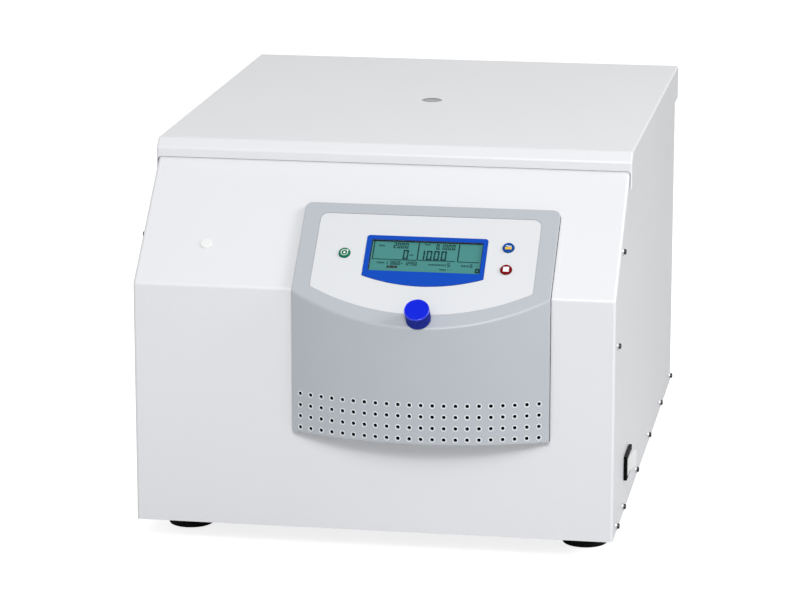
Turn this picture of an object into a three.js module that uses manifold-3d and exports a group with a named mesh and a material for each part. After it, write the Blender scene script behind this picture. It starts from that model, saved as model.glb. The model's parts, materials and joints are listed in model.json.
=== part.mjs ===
// A benchtop centrifuge: sheet-metal casing with a sloping control panel, a lid hinged at the back,
// and a swing-out rotor with four buckets in a round steel bowl.
// Millimetres. +Z is up, the front faces -Y, and +X is on the right of someone who stands in front.
// The sizes below are in the casing's frame: x 0 is its middle, y 0 its front and z 0 its bottom edge.
import * as THREE from "three";
import { mergeVertices } from "three/addons/utils/BufferGeometryUtils.js";
import Module from "manifold-3d";

const wasm = await Module();
wasm.setup();

// Driving sizes
const creaseHeight = 254.4;
const deckHeight = 366;
const slopeRun = 126.14;
const sheet = 1.5;
const bendRadius = 4;
const edgeRadius = 3;
const clearance = 0.3;
const runningGap = 0.3;
const overrun = 6;

// The room between the bowl and the casing
const casingRoom = { side: 54, front: 67.86, rear: 62 };

// The casing's base and back
const foot = {
  radius: 24, topRadius: 19, height: 28, sideInset: 38, endInset: 88, collar: 5, shoulder: 3, chamfer: 1.8,
  recess: 8, recessDepth: 9,
};
const basePan = { floor: 2, flange: 22, slotLength: 60, slotWidth: 5, slotPitch: 16, slotCount: 5 };
const rearSlot = { length: 90, width: 6, pitch: 15, count: 7, z: 190, x: 120 };
const fan = {
  side: 80, depth: 25, bore: 37, hub: 16, blade: 1.6, blades: 7, x: -150, z: 62, spindle: 4,
  pitch: 0.7,
};
const fanGrille = { ringPitch: 12, ringWidth: 8, spoke: 5, rings: 3 };
const inlet = {
  width: 48, height: 28, lip: 2, depth: 24, x: 170, z: 62, socketWidth: 25, socketHeight: 17,
  socketDepth: 17,
};
const inletPin = { width: 2, height: 4, length: 13, spread: 7, rise: 3 };

// The deck, the bowl and the ring round it
const deck = {
  border: 16, frontBorder: 13.86, lap: 8, sheet: 2, corner: 18, mouthGap: 1, collarDepth: 14,
};
const bowl = { swingGap: 12, wall: 1.5, motorGap: 12, corner: 22, rimWidth: 10, bootHole: 34 };
const gasket = { height: 5.6, inset: 1, width: 10, lipRadius: 2.4 };
const guardRing = { gap: 6.5, wall: 5, topGap: 2, windowWidth: 110, windowHeight: 90 };

// The drive
const motorPlate = { radius: 108, thickness: 6, bottom: 38, bore: 30 };
const motorMount = { radius: 16, circle: 88, count: 3, waist: 12 };
const motor = {
  radius: 68, flange: 80, flangeHeight: 8, top: 138, bellRadius: 44, bellHeight: 18, rib: 4,
  ribCount: 8,
};
const boot = { flange: 44, flangeHeight: 2, neck: 16, height: 30, wall: 2, waist: 24 };
const shaft = { radius: 9, seat: 14, seatHeight: 4, taper: 11, thread: 7, threadLength: 18 };
const rotor = {
  floorGap: 24.5, armGap: 7.0965, hub: 34, hubRise: 20, arm: 30, thickness: 28, tipReach: 18,
  earGap: 12, pocket: 10.5,
};
const trunnion = { radius: 5, reach: 8 };
const rotorNut = { radius: 22, flange: 27, height: 20, flangeHeight: 5, grips: 4, gripRadius: 9 };
const bucket = {
  radius: 46, wall: 3, above: 16, below: 86, corner: 12, earWidth: 24, earRise: 14, lipHeight: 4,
  lip: 1.2,
};

// The lid
const lid = {
  sideOverhang: 2.2, backOverhang: 14, rise: 16.6, frontOverhang: 5.14, foldRun: 11, foldDrop: 9.4,
  lipDrop: 19, skirtDrop: 37.8, bend: 3, edge: 2.2, lipCorner: 6,
};
const liner = {
  thickness: 3.2, sideInset: 14.2, frontInset: 17, backInset: 22, corner: 20, discInset: 12,
  discDrop: 3,
};
const port = { radius: 11.2, stem: 9.5, proud: 0.3, tail: 4 };
const striker = {
  x: 150, inset: 12, width: 14, thickness: 3, drop: 38, windowWidth: 8, windowTop: 22,
  windowHeight: 12,
};
const lock = {
  reachX: 36, sideGap: 14, height: 50, plate: 2, pinRadius: 3, pinX: 22, pinDrop: 40,
  canRadius: 11, canHeight: 18,
};
const latch = { thickness: 4, arm: 29, radius: 6, noseReach: 17, noseHeight: 5 };
const lockSlot = { length: 26, width: 14 };

const hinge = {
  behind: 7, drop: 16, pinRadius: 2.5, barrelRadius: 5, spacing: 340, width: 60, leafSheet: 2,
};

// The gas springs
const spring = {
  inset: 40, baseZ: 45, baseAhead: 40, lidInset: 88, lidDrop: 10.6, radius: 10, bore: 4.6, rod: 4,
  barrel: 210, rodInside: 102,
};
const springEye = { radius: 8, thickness: 6, pin: 4, neck: 6, shank: 3 };
const springLug = { thickness: 3, width: 26, gap: 1.2 };
const springSlot = { ahead: 20, behind: 64, width: 18 };

// The control fascia, in the panel's own measures: s runs up the slope from the crease, n out of it
const fascia = {
  left: -82, right: 184, top: 107, face: 6, wall: 2.5, corner: 7.5, bottom: 105.9, sideProud: 8.5,
  midProud: 39,
};
const fasciaBoss = { radius: 3.5, left: -56, right: 158, low: 6, high: 90 };
const vent = { columns: 22, rows: 4, first: -72.4, last: 174.5, low: 111.8, high: 147.4, radius: 2 };
const panelHole = { left: -72, right: 174, top: 98, bottom: 118 };
const membrane = {
  left: -64, right: 166, top: 93.6, side: 1, foldGap: 17.064, corner: 8, thickness: 0.5, recess: 1.1,
};
const surround = { left: -12, right: 113.5, top: 67.2, side: 16.5, middle: 5.2, corner: 3, thickness: 0.9 };
const display = { left: -6.5, right: 108.7, bottom: 23.3, top: 61.9, face: 5.5, border: 3, shoulder: 3 };
const board = {
  left: -64, right: 166, bottom: -4, top: 95, thickness: 1.6, level: -10, tongueLeft: 36,
  tongueRight: 71, tongueReach: 14,
};
const tactSwitch = { side: 6, height: 2.4 };
const key = { radius: 6, face: 7.2, travel: 0.8, capDepth: 2.4, stem: 2 };
const keyPlaces = { start_key: [-33.3, 43.4], lid_key: [135.1, 57.1], stop_key: [135.5, 29.7] };
const knob = {
  x: 53.4, foldGap: 10.764, radius: 13, top: 24, lift: 0.8, ribs: 24, ribDepth: 0.5, cap: 12.2,
  capHeight: 1.6, bore: 3.3,
};
const encoder = { side: 14, height: 8, shaft: 3, collar: 4.6 };
const plug = { x: -181, s: 52.8, radius: 6, head: 1.2, stem: 4.8, stemLength: 10 };

// The mains switch on the right side, and the power electronics behind it
const mains = { y: 127, z: 49, length: 50, height: 26, proud: 4, depth: 26, bezel: 4, wall: 2 };
const rocker = {
  radius: 20.6, halfAngle: THREE.MathUtils.degToRad(7), face: 4.6, pivotDepth: 0.5, belly: 9,
};
const power = { left: -160, right: 70, front: 42, back: 132, base: 10, height: 78, fins: 11, finGap: 5 };

const sides = { vent: 6, small: 8, medium: 16, large: 36 };
const bucketCount = 4;
const curveSteps = 6;
const bendSteps = 2;
const turnedSteps = 3;

// The rotor's places follow the buckets, and the bowl goes round the buckets as they swing out
const pivotRadius = (bucket.radius + bucket.lip + rotor.armGap + rotor.arm / 2) * Math.SQRT2;
const tipInset = bucket.radius + rotor.earGap;
const bowlRadius = pivotRadius + bucket.below + bowl.swingGap;
const bowlFloor = motor.top + bowl.motorGap;
const pivotHeight = bowlFloor + bowl.wall + bucket.below + rotor.floorGap;
const hubTop = pivotHeight + rotor.hubRise;
const shaftTop = hubTop + shaft.threadLength;

// The casing goes round the bowl
const half = bowlRadius + casingRoom.side;
const rotorY = slopeRun + casingRoom.front + bowlRadius;
const casingDepth = rotorY + bowlRadius + casingRoom.rear;
const panelAngle = Math.atan2(deckHeight - creaseHeight, slopeRun);
const cosPanel = Math.cos(panelAngle);
const sinPanel = Math.sin(panelAngle);

// Where the fascia's sloping face meets its bulge, and what keeps its distance from that fold
const foldS = (fascia.face * sinPanel - fascia.midProud) / cosPanel;
const knobS = foldS + knob.foldGap;
const membraneShape = { ...membrane, middle: foldS + membrane.foldGap };

// The deck, the bowl's opening and the ring under the deck
const deckFront = slopeRun + deck.frontBorder;
const deckBack = casingDepth - deck.border;
const deckMouth = bowlRadius + bowl.wall + deck.mouthGap;
const guardRadius = deckMouth + deck.sheet + guardRing.gap;
const guardTop = deckHeight - deck.collarDepth - guardRing.topGap;

// The lid goes over the casing
const lidSide = half + lid.sideOverhang;
const lidFront = slopeRun - lid.frontOverhang;
const lidBack = casingDepth + lid.backOverhang;
const lidTop = deckHeight + lid.rise;
const lidSkirt = lidTop - lid.skirtDrop;
const hingeY = casingDepth + hinge.behind;
const hingeZ = deckHeight - hinge.drop;
const strikerY = deckFront + striker.inset;

const paint = {
  casing: { color: 0xe3e5e7, roughness: 0.45, metalness: 0 },
  moulding: { color: 0xbfc6cc, roughness: 0.5, metalness: 0 },
  white: { color: 0xecedee, roughness: 0.4, metalness: 0 },
  blue: { color: 0x1e46c8, roughness: 0.35, metalness: 0 },
  glass: { color: 0x5fa596, roughness: 0.2, metalness: 0 },
  green: { color: 0x2e9a62, roughness: 0.4, metalness: 0 },
  red: { color: 0xc8323c, roughness: 0.4, metalness: 0 },
  steel: { color: 0xc8cacc, roughness: 0.3, metalness: 1 },
  alloy: { color: 0xaab0b6, roughness: 0.4, metalness: 1 },
  rubber: { color: 0x1c1c1e, roughness: 0.8, metalness: 0 },
  black: { color: 0x26272a, roughness: 0.5, metalness: 0 },
  circuit: { color: 0x2c6b3c, roughness: 0.5, metalness: 0 },
};

// Turns a closed geometry into a solid that can be joined and cut
function solid(shape) {
  if (!shape.isBufferGeometry) return shape;
  const bare = shape.index ? shape.toNonIndexed() : shape.clone();
  bare.deleteAttribute("normal");
  bare.deleteAttribute("uv");
  const merged = mergeVertices(bare);
  const vertProperties = merged.attributes.position.array;
  const triVerts = new Uint32Array(merged.index.array);
  return new wasm.Manifold(new wasm.Mesh({ numProp: 3, vertProperties, triVerts }));
}

function join(first, ...others) {
  return others.flat().reduce((sum, shape) => sum.add(solid(shape)), solid(first));
}

function cut(first, ...others) {
  return others.flat().reduce((rest, shape) => rest.subtract(solid(shape)), solid(first));
}

function common(first, second) {
  return solid(first).intersect(solid(second));
}

function geometryOf(shape) {
  const mesh = solid(shape).getMesh();
  const geometry = new THREE.BufferGeometry();
  geometry.setAttribute("position", new THREE.BufferAttribute(mesh.vertProperties, 3));
  geometry.setIndex(new THREE.BufferAttribute(mesh.triVerts, 1));
  const faceted = geometry.toNonIndexed();
  faceted.computeVertexNormals();
  return faceted;
}

const casing = new THREE.Group();
const panel = new THREE.Group();
panel.position.z = creaseHeight;
panel.rotation.x = panelAngle;
casing.add(panel);

function piece(name, shape, finish, parent = casing) {
  const mesh = new THREE.Mesh(geometryOf(shape), new THREE.MeshStandardMaterial(finish));
  mesh.name = name;
  parent.add(mesh);
  return mesh;
}

// A closed outline through corners [a, b, radius], each corner rounded by an arc of its radius
function outline(corners) {
  const shape = new THREE.Shape();
  const at = (i) => new THREE.Vector2(...corners.at(i % corners.length));
  corners.forEach(([a, b, radius = 0], i) => {
    const corner = new THREE.Vector2(a, b);
    const move = i === 0 ? "moveTo" : "lineTo";
    const back = at(i - 1).sub(corner).normalize();
    const ahead = at(i + 1).sub(corner).normalize();
    const angle = back.angleTo(ahead) / 2;
    if (radius > 0 && Math.abs(angle - Math.PI / 2) > 1e-6) {
      const reach = radius / Math.tan(angle);
      const middle = back.clone().add(ahead).normalize();
      const centre = corner.clone().addScaledVector(middle, radius / Math.sin(angle));
      const from = corner.clone().addScaledVector(back, reach).sub(centre).angle();
      const to = corner.clone().addScaledVector(ahead, reach).sub(centre).angle();
      shape[move](centre.x + radius * Math.cos(from), centre.y + radius * Math.sin(from));
      shape.absarc(centre.x, centre.y, radius, from, to, back.cross(ahead) > 0);
    } else {
      shape[move](a, b);
    }
  });
  return shape;
}

function rectangle(left, right, low, high, radius = 0) {
  return outline([
    [left, low, radius],
    [right, low, radius],
    [right, high, radius],
    [left, high, radius],
  ]);
}

// Extrudes an outline in x and y from one height to another
function upright(shape, low, high, steps = bendSteps) {
  const settings = { depth: high - low, bevelEnabled: false, curveSegments: steps };
  return new THREE.ExtrudeGeometry(shape, settings).translate(0, 0, low);
}

// Extrudes an outline in y and z across x, with its edges rounded where a radius is given
function across(shape, left, right, radius = 0, steps = bendSteps) {
  const settings = {
    depth: right - left - 2 * radius,
    bevelEnabled: radius > 0,
    bevelThickness: radius,
    bevelSize: radius,
    bevelOffset: -radius,
    bevelSegments: bendSteps,
    curveSegments: steps,
  };
  const turn = new THREE.Matrix4().makeBasis(
    new THREE.Vector3(0, 1, 0),
    new THREE.Vector3(0, 0, 1),
    new THREE.Vector3(1, 0, 0),
  );
  return new THREE.ExtrudeGeometry(shape, settings).translate(0, 0, left + radius).applyMatrix4(turn);
}

// Extrudes an outline in x and z from one depth to another
function throughDepth(shape, front, back, steps = bendSteps) {
  const settings = { depth: back - front, bevelEnabled: false, curveSegments: steps };
  return new THREE.ExtrudeGeometry(shape, settings).rotateX(Math.PI / 2).translate(0, back, 0);
}

function block([left, right], [front, back], [low, high]) {
  const box = new THREE.BoxGeometry(right - left, back - front, high - low);
  return box.translate((left + right) / 2, (front + back) / 2, (low + high) / 2);
}

function drum(radius, low, high, x = 0, y = 0, count = sides.medium) {
  const body = new THREE.CylinderGeometry(radius, radius, high - low, count);
  return body.rotateX(Math.PI / 2).translate(x, y, (low + high) / 2);
}

function drumAcross(radius, left, right, y, z, count = sides.small) {
  const body = new THREE.CylinderGeometry(radius, radius, right - left, count);
  return body.rotateZ(Math.PI / 2).translate((left + right) / 2, y, z);
}

function drumThroughDepth(radius, front, back, x, z, count = sides.small) {
  const body = new THREE.CylinderGeometry(radius, radius, back - front, count);
  return body.translate(x, (front + back) / 2, z);
}

// Turns a closed outline of [radius, height] points about an upright axis
function turned(points, x = 0, y = 0, count = sides.medium) {
  const profile = points.map(([r, z]) => new THREE.Vector2(r, z));
  if (THREE.ShapeUtils.area(profile) < 0) profile.reverse();
  const closed = profile.every((p) => p.x > 0);
  if (closed) profile.push(profile[0].clone());
  return new THREE.LatheGeometry(profile, count).rotateX(Math.PI / 2).translate(x, y, 0);
}

// The points of an arc, for outlines that are turned
function arcPoints(r, z, radius, from, to, steps = turnedSteps) {
  return Array.from({ length: steps + 1 }, (_, i) => {
    const angle = from + ((to - from) * i) / steps;
    return [r + radius * Math.cos(angle), z + radius * Math.sin(angle)];
  });
}

// The radius of a hole whose flats stay clear of a round part that turns in it
const boreFor = (radius, count = sides.small) => (radius + runningGap) / Math.cos(Math.PI / count);

const onPanel = (geometry) => geometry.applyMatrix4(
  new THREE.Matrix4().makeRotationX(panelAngle).setPosition(0, 0, creaseHeight),
);

// The casing's side outline, drawn in by an inset
function casingOutline(inset, tail) {
  const top = deckHeight - inset;
  const crease = creaseHeight - (inset * (1 - sinPanel)) / cosPanel;
  const topY = ((top - creaseHeight) * cosPanel + inset) / sinPanel;
  const radius = Math.max(bendRadius - inset, 0);
  return outline([
    [inset, -tail, 0],
    [casingDepth + tail, -tail, 0],
    [casingDepth + tail, top, 0],
    [topY, top, radius],
    [inset, crease, radius],
  ]);
}

function buildHood() {
  const skin = across(casingOutline(0, overrun), -half, half, edgeRadius);
  const room = across(casingOutline(sheet, overrun), -half + sheet, half - sheet, edgeRadius - sheet);
  const keep = block([-half - overrun, half + overrun], [-overrun, casingDepth], [0, deckHeight + overrun]);
  const deckX = half - deck.border;
  const mouth = upright(
    rectangle(-deckX, deckX, deckFront, deckBack, deck.corner),
    deckHeight - overrun,
    deckHeight + overrun,
  );
  const upperHole = onPanel(
    block([panelHole.left, panelHole.right], [-overrun, panelHole.top], [-overrun, overrun]),
  );
  const lowerHole = block(
    [panelHole.left, panelHole.right],
    [-overrun, overrun],
    [panelHole.bottom, creaseHeight],
  );
  const plugHole = onPanel(drum(plug.stem + clearance, -overrun, overrun, plug.x, plug.s));
  const switchY = mains.length / 2 - mains.wall;
  const switchZ = mains.height / 2 - mains.wall;
  const switchHole = block(
    [half - overrun, half + overrun],
    [mains.y - switchY - clearance, mains.y + switchY + clearance],
    [mains.z - switchZ - clearance, mains.z + switchZ + clearance],
  );
  const shell = common(cut(skin, room), keep);
  piece("casing_hood", cut(shell, mouth, upperHole, lowerHole, plugHole, switchHole), paint.casing);
}

const panX = half - sheet - clearance;

function buildBasePan() {
  const front = sheet + clearance;
  const back = casingDepth - sheet - clearance;
  const inset = basePan.floor;
  const tray = upright(rectangle(-panX, panX, front, back, bendRadius), 0, basePan.flange);
  const inside = rectangle(-panX + inset, panX - inset, front + inset, back - inset, bendRadius - inset);
  const room = upright(inside, basePan.floor, basePan.flange + overrun);
  const slots = [];
  for (let i = 0; i < basePan.slotCount; i++) {
    const y = casingDepth / 4 + (i - basePan.slotCount / 2) * basePan.slotPitch;
    for (const side of [-1, 1]) {
      const x = side * (half - foot.sideInset - basePan.slotLength);
      slots.push(
        block(
          [x - basePan.slotLength / 2, x + basePan.slotLength / 2],
          [y, y + basePan.slotWidth],
          [-overrun, basePan.floor + overrun],
        ),
      );
    }
  }
  const lugs = [-1, 1].map((side) => springLugOnPan(side));
  piece("base_pan", join(cut(tray, room, slots), lugs), paint.steel);
}

// The upright tab with a pin that carries the foot of a gas spring
function springLugOnPan(side) {
  const inner = side * (springX + springEye.thickness / 2 + clearance);
  const outer = inner + side * springLug.thickness;
  const reach = side * (springX - springEye.thickness / 2);
  const tab = outline([
    [springBaseY - springLug.width / 2, basePan.floor / 2, 0],
    [springBaseY + springLug.width / 2, basePan.floor / 2, 0],
    [springBaseY + springLug.width / 2, spring.baseZ + springEye.radius, springEye.neck],
    [springBaseY - springLug.width / 2, spring.baseZ + springEye.radius, springEye.neck],
  ]);
  const plate = across(tab, Math.min(inner, outer), Math.max(inner, outer));
  const pin = drumAcross(
    springEye.pin,
    Math.min(reach, outer),
    Math.max(reach, outer),
    springBaseY,
    spring.baseZ,
  );
  return join(plate, pin);
}

function buildFeet() {
  const places = { front_left: [-1, 0], front_right: [1, 0], rear_left: [-1, 1], rear_right: [1, 1] };
  for (const [where, [side, rear]] of Object.entries(places)) {
    const y = rear ? casingDepth - foot.endInset : foot.endInset;
    const body = turned(
      [
        [0, -clearance],
        [foot.topRadius, -clearance],
        [foot.topRadius, -foot.collar],
        [foot.radius - foot.chamfer, -foot.collar - foot.shoulder],
        [foot.radius, -foot.height + foot.chamfer],
        [foot.radius - foot.chamfer, -foot.height],
        [foot.recess, -foot.height],
        [foot.recess, -foot.height + foot.recessDepth],
        [0, -foot.height + foot.recessDepth],
      ],
      side * (half - foot.sideInset),
      y,
    );
    piece(`foot_${where}`, body, paint.rubber);
  }
}

function buildRearPanel() {
  const top = deckHeight - sheet - clearance;
  const plate = throughDepth(rectangle(-panX, panX, 0, top, bendRadius), casingDepth - sheet, casingDepth);
  const holes = [];
  for (let i = 0; i < rearSlot.count; i++) {
    const z = rearSlot.z + i * rearSlot.pitch;
    for (const side of [-1, 1]) {
      const x = side * rearSlot.x;
      holes.push(
        block(
          [x - rearSlot.length / 2, x + rearSlot.length / 2],
          [casingDepth - overrun, casingDepth + overrun],
          [z, z + rearSlot.width],
        ),
      );
    }
  }
  const inletX = inlet.width / 2 - inlet.lip * 3;
  const inletZ = inlet.height / 2 - inlet.lip;
  holes.push(
    block(
      [inlet.x - inletX - clearance, inlet.x + inletX + clearance],
      [casingDepth - overrun, casingDepth + overrun],
      [inlet.z - inletZ - clearance, inlet.z + inletZ + clearance],
    ),
  );
  const spokes = [
    block(
      [fan.x - fan.bore, fan.x + fan.bore],
      [casingDepth - overrun, casingDepth + overrun],
      [fan.z - fanGrille.spoke / 2, fan.z + fanGrille.spoke / 2],
    ),
    block(
      [fan.x - fanGrille.spoke / 2, fan.x + fanGrille.spoke / 2],
      [casingDepth - overrun, casingDepth + overrun],
      [fan.z - fan.bore, fan.z + fan.bore],
    ),
  ];
  for (let i = 0; i < fanGrille.rings; i++) {
    const outer = fan.bore - clearance - i * fanGrille.ringPitch;
    const disc = drumThroughDepth(outer, casingDepth - overrun, casingDepth + overrun, fan.x, fan.z);
    const core = drumThroughDepth(
      outer - fanGrille.ringWidth,
      casingDepth - overrun,
      casingDepth + overrun,
      fan.x,
      fan.z,
    );
    holes.push(cut(disc, core, spokes));
  }
  piece("rear_panel", cut(plate, holes), paint.casing);
}

function buildFan() {
  const back = casingDepth - sheet - clearance;
  const front = back - fan.depth;
  const edge = fan.side / 2;
  const frame = throughDepth(
    rectangle(fan.x - edge, fan.x + edge, fan.z - edge, fan.z + edge, fan.hub / 4),
    front,
    back,
  );
  const bore = drumThroughDepth(fan.bore, front - overrun, back + overrun, fan.x, fan.z, sides.medium);
  const strut = fan.spindle;
  const spider = join(
    block(
      [fan.x - fan.bore - fan.blade, fan.x + fan.bore + fan.blade],
      [back - strut, back],
      [fan.z - strut / 2, fan.z + strut / 2],
    ),
    block(
      [fan.x - strut / 2, fan.x + strut / 2],
      [back - strut, back],
      [fan.z - fan.bore - fan.blade, fan.z + fan.bore + fan.blade],
    ),
    drumThroughDepth(fan.hub, back - strut, back, fan.x, fan.z, sides.medium),
    drumThroughDepth(fan.spindle, front + strut, back, fan.x, fan.z),
  );
  piece("fan_frame", join(cut(frame, bore), spider), paint.black);

  const hubBack = back - strut - clearance;
  const hubFront = front + fan.blade;
  const hub = cut(
    drumThroughDepth(fan.hub, hubFront, hubBack, fan.x, fan.z, sides.medium),
    drumThroughDepth(boreFor(fan.spindle), front + strut - clearance, back, fan.x, fan.z),
  );
  const bladeLength = fan.bore - fan.blade - fan.hub / 2;
  const blades = Array.from({ length: fan.blades }, (_, i) => {
    const blade = new THREE.BoxGeometry(fan.blade, hubBack - hubFront - fan.blade, bladeLength);
    blade.rotateZ(fan.pitch).translate(0, 0, fan.hub / 2 + bladeLength / 2);
    blade.rotateY((i / fan.blades) * Math.PI * 2);
    return blade.translate(fan.x, (hubFront + hubBack) / 2, fan.z);
  });
  const sweep = drumThroughDepth(fan.bore - fan.blade, hubFront, hubBack, fan.x, fan.z, sides.medium);
  const room = cut(
    sweep,
    drumThroughDepth(boreFor(fan.spindle), front + strut - clearance, back, fan.x, fan.z),
  );
  piece("fan_impeller", common(join(hub, blades), room), paint.black);
}

function buildInlet() {
  const face = casingDepth + clearance;
  const lipShape = rectangle(
    inlet.x - inlet.width / 2,
    inlet.x + inlet.width / 2,
    inlet.z - inlet.height / 2,
    inlet.z + inlet.height / 2,
    inlet.lip,
  );
  const flange = throughDepth(lipShape, face, face + inlet.lip);
  const bodyX = inlet.width / 2 - inlet.lip * 3;
  const bodyZ = inlet.height / 2 - inlet.lip;
  const body = block(
    [inlet.x - bodyX, inlet.x + bodyX],
    [face + inlet.lip - inlet.depth, face + inlet.lip / 2],
    [inlet.z - bodyZ, inlet.z + bodyZ],
  );
  const mouthX = inlet.socketWidth / 2;
  const mouthZ = inlet.socketHeight / 2;
  const chamfer = inletPin.height;
  const mouthShape = outline([
    [inlet.x - mouthX, inlet.z - mouthZ],
    [inlet.x + mouthX, inlet.z - mouthZ],
    [inlet.x + mouthX, inlet.z + mouthZ - chamfer],
    [inlet.x + mouthX - chamfer, inlet.z + mouthZ],
    [inlet.x - mouthX + chamfer, inlet.z + mouthZ],
    [inlet.x - mouthX, inlet.z + mouthZ - chamfer],
  ]);
  const socketFloor = face + inlet.lip - inlet.socketDepth;
  const mouth = throughDepth(mouthShape, socketFloor, face + inlet.lip + overrun);
  const pins = [-1, 0, 1].map((place) => {
    const x = inlet.x + place * inletPin.spread;
    const z = inlet.z + (place === 0 ? inletPin.rise : -inletPin.rise / 2);
    return block(
      [x - inletPin.width / 2, x + inletPin.width / 2],
      [socketFloor - inlet.lip / 2, socketFloor + inletPin.length],
      [z - inletPin.height / 2, z + inletPin.height / 2],
    );
  });
  piece("mains_inlet", join(cut(join(flange, body), mouth), pins), paint.black);
}

const deckTop = deckHeight + clearance + deck.sheet;
const bowlRimTop = deckTop + clearance + bowl.wall;
const deckX = half - deck.border + deck.lap;

function slotFor(side) {
  const x = side * striker.x;
  const middle = strikerY;
  return rectangle(
    x - lockSlot.width / 2,
    x + lockSlot.width / 2,
    middle - lockSlot.length / 2,
    middle + lockSlot.length / 2,
  );
}

function springSlotShape(side) {
  const x = side * springX;
  return rectangle(
    x - springSlot.width / 2,
    x + springSlot.width / 2,
    springLidY - springSlot.ahead,
    springLidY + springSlot.behind,
    springSlot.width / 3,
  );
}

function buildDeck() {
  const low = deckHeight + clearance;
  const plate = upright(
    rectangle(-deckX, deckX, deckFront - deck.lap, deckBack + deck.lap, deck.corner),
    low,
    deckTop,
  );
  const collar = drum(
    deckMouth + deck.sheet,
    deckHeight - deck.collarDepth,
    deckTop,
    0,
    rotorY,
    sides.large,
  );
  const mouth = drum(deckMouth, 0, deckTop + overrun, 0, rotorY, sides.large);
  const slots = [-1, 1].flatMap((side) => [
    upright(slotFor(side), low - overrun, deckTop + overrun),
    upright(springSlotShape(side), low - overrun, deckTop + overrun),
  ]);
  piece("deck_tray", cut(join(plate, collar), mouth, slots), paint.white);
}

function buildBowl() {
  const outer = bowlRadius + bowl.wall;
  const floorTop = bowlFloor + bowl.wall;
  const rimLow = deckTop + clearance;
  const inside = arcPoints(bowlRadius - bowl.corner, floorTop + bowl.corner, bowl.corner, -Math.PI / 2, 0);
  const outside = arcPoints(
    bowlRadius - bowl.corner,
    floorTop + bowl.corner,
    bowl.corner + bowl.wall,
    0,
    -Math.PI / 2,
  );
  const profile = [
    [bowl.bootHole, floorTop],
    ...inside,
    [bowlRadius, bowlRimTop],
    [bowlRadius + bowl.rimWidth, bowlRimTop],
    [bowlRadius + bowl.rimWidth, rimLow],
    [outer, rimLow],
    ...outside,
    [bowl.bootHole, bowlFloor],
  ];
  piece("rotor_bowl", turned(profile, 0, rotorY, sides.large), paint.steel);

  const seat = bowlRimTop + clearance;
  const inner = bowlRadius + gasket.inset;
  const outerEdge = inner + gasket.width;
  const crown = (inner + outerEdge) / 2;
  const rubber = [
    [outerEdge, seat],
    [outerEdge, seat + gasket.height - gasket.lipRadius],
    ...arcPoints(crown, seat + gasket.height - gasket.lipRadius, gasket.lipRadius, 0, Math.PI),
    [inner, seat + gasket.height - gasket.lipRadius],
    [inner, seat],
  ];
  piece("bowl_gasket", turned(rubber, 0, rotorY, sides.large), paint.rubber);
}

function buildGuardRing() {
  const low = basePan.floor + clearance;
  const tube = cut(
    drum(guardRadius + guardRing.wall, low, guardTop, 0, rotorY, sides.large),
    drum(guardRadius, low - overrun, guardTop + overrun, 0, rotorY, sides.large),
  );
  const reach = guardRadius + guardRing.wall + overrun;
  const x = guardRing.windowWidth / 2;
  const window = block(
    [-x, x],
    [rotorY - reach, rotorY + reach],
    [low + basePan.flange, low + basePan.flange + guardRing.windowHeight],
  );
  piece("guard_ring", cut(tube, window), paint.alloy);
}

function buildDrive() {
  const plateTop = motorPlate.bottom + motorPlate.thickness;
  const plate = cut(
    drum(motorPlate.radius, motorPlate.bottom, plateTop, 0, rotorY, sides.large),
    drum(motorPlate.bore, motorPlate.bottom - overrun, plateTop + overrun, 0, rotorY),
  );
  piece("motor_plate", plate, paint.alloy);

  const mountLow = basePan.floor + clearance;
  const mountTop = motorPlate.bottom - clearance;
  for (let i = 0; i < motorMount.count; i++) {
    const angle = (i / motorMount.count) * Math.PI * 2 + Math.PI / 2;
    const body = turned(
      [
        [0, mountLow],
        [motorMount.radius, mountLow],
        [motorMount.waist, (mountLow + mountTop) / 2],
        [motorMount.radius, mountTop],
        [0, mountTop],
      ],
      motorMount.circle * Math.cos(angle),
      rotorY + motorMount.circle * Math.sin(angle),
    );
    piece(`motor_mount_${i + 1}`, body, paint.rubber);
  }

  const low = plateTop + clearance;
  const housing = turned(
    [
      [0, low],
      [motor.flange, low],
      [motor.flange, low + motor.flangeHeight],
      [motor.radius, low + motor.flangeHeight],
      [motor.radius, motor.top - motor.bellHeight],
      [motor.bellRadius, motor.top],
      [0, motor.top],
    ],
    0,
    rotorY,
  );
  const ribs = Array.from({ length: motor.ribCount }, (_, i) => {
    const rib = new THREE.BoxGeometry(motor.rib * 2, motor.rib, motor.top - motor.bellHeight - low);
    rib.translate(motor.radius, 0, (motor.top - motor.bellHeight + low) / 2);
    return rib.rotateZ((i / motor.ribCount) * Math.PI * 2).translate(0, rotorY, 0);
  });
  piece("drive_motor", join(housing, ribs), paint.alloy);

  const bootLow = bowlFloor + bowl.wall + clearance;
  const bootTop = bootLow + boot.height;
  const rubber = turned(
    [
      [shaft.radius + runningGap, bootTop],
      [boot.neck, bootTop],
      [boot.neck, bootTop - boot.flangeHeight * 2],
      [boot.waist, bootLow + boot.height / 2],
      [boot.waist + boot.wall, bootLow + boot.flangeHeight],
      [boot.flange, bootLow + boot.flangeHeight],
      [boot.flange, bootLow],
      [boot.waist, bootLow],
      [boot.waist - boot.wall, bootLow + boot.height / 2],
      [shaft.radius + runningGap, bootTop - boot.flangeHeight * 2],
    ],
    0,
    rotorY,
  );
  piece("shaft_boot", rubber, paint.rubber);
}

const hubLow = pivotHeight - rotor.thickness / 2 - shaft.seatHeight;
const nutLow = hubTop + clearance;

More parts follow.
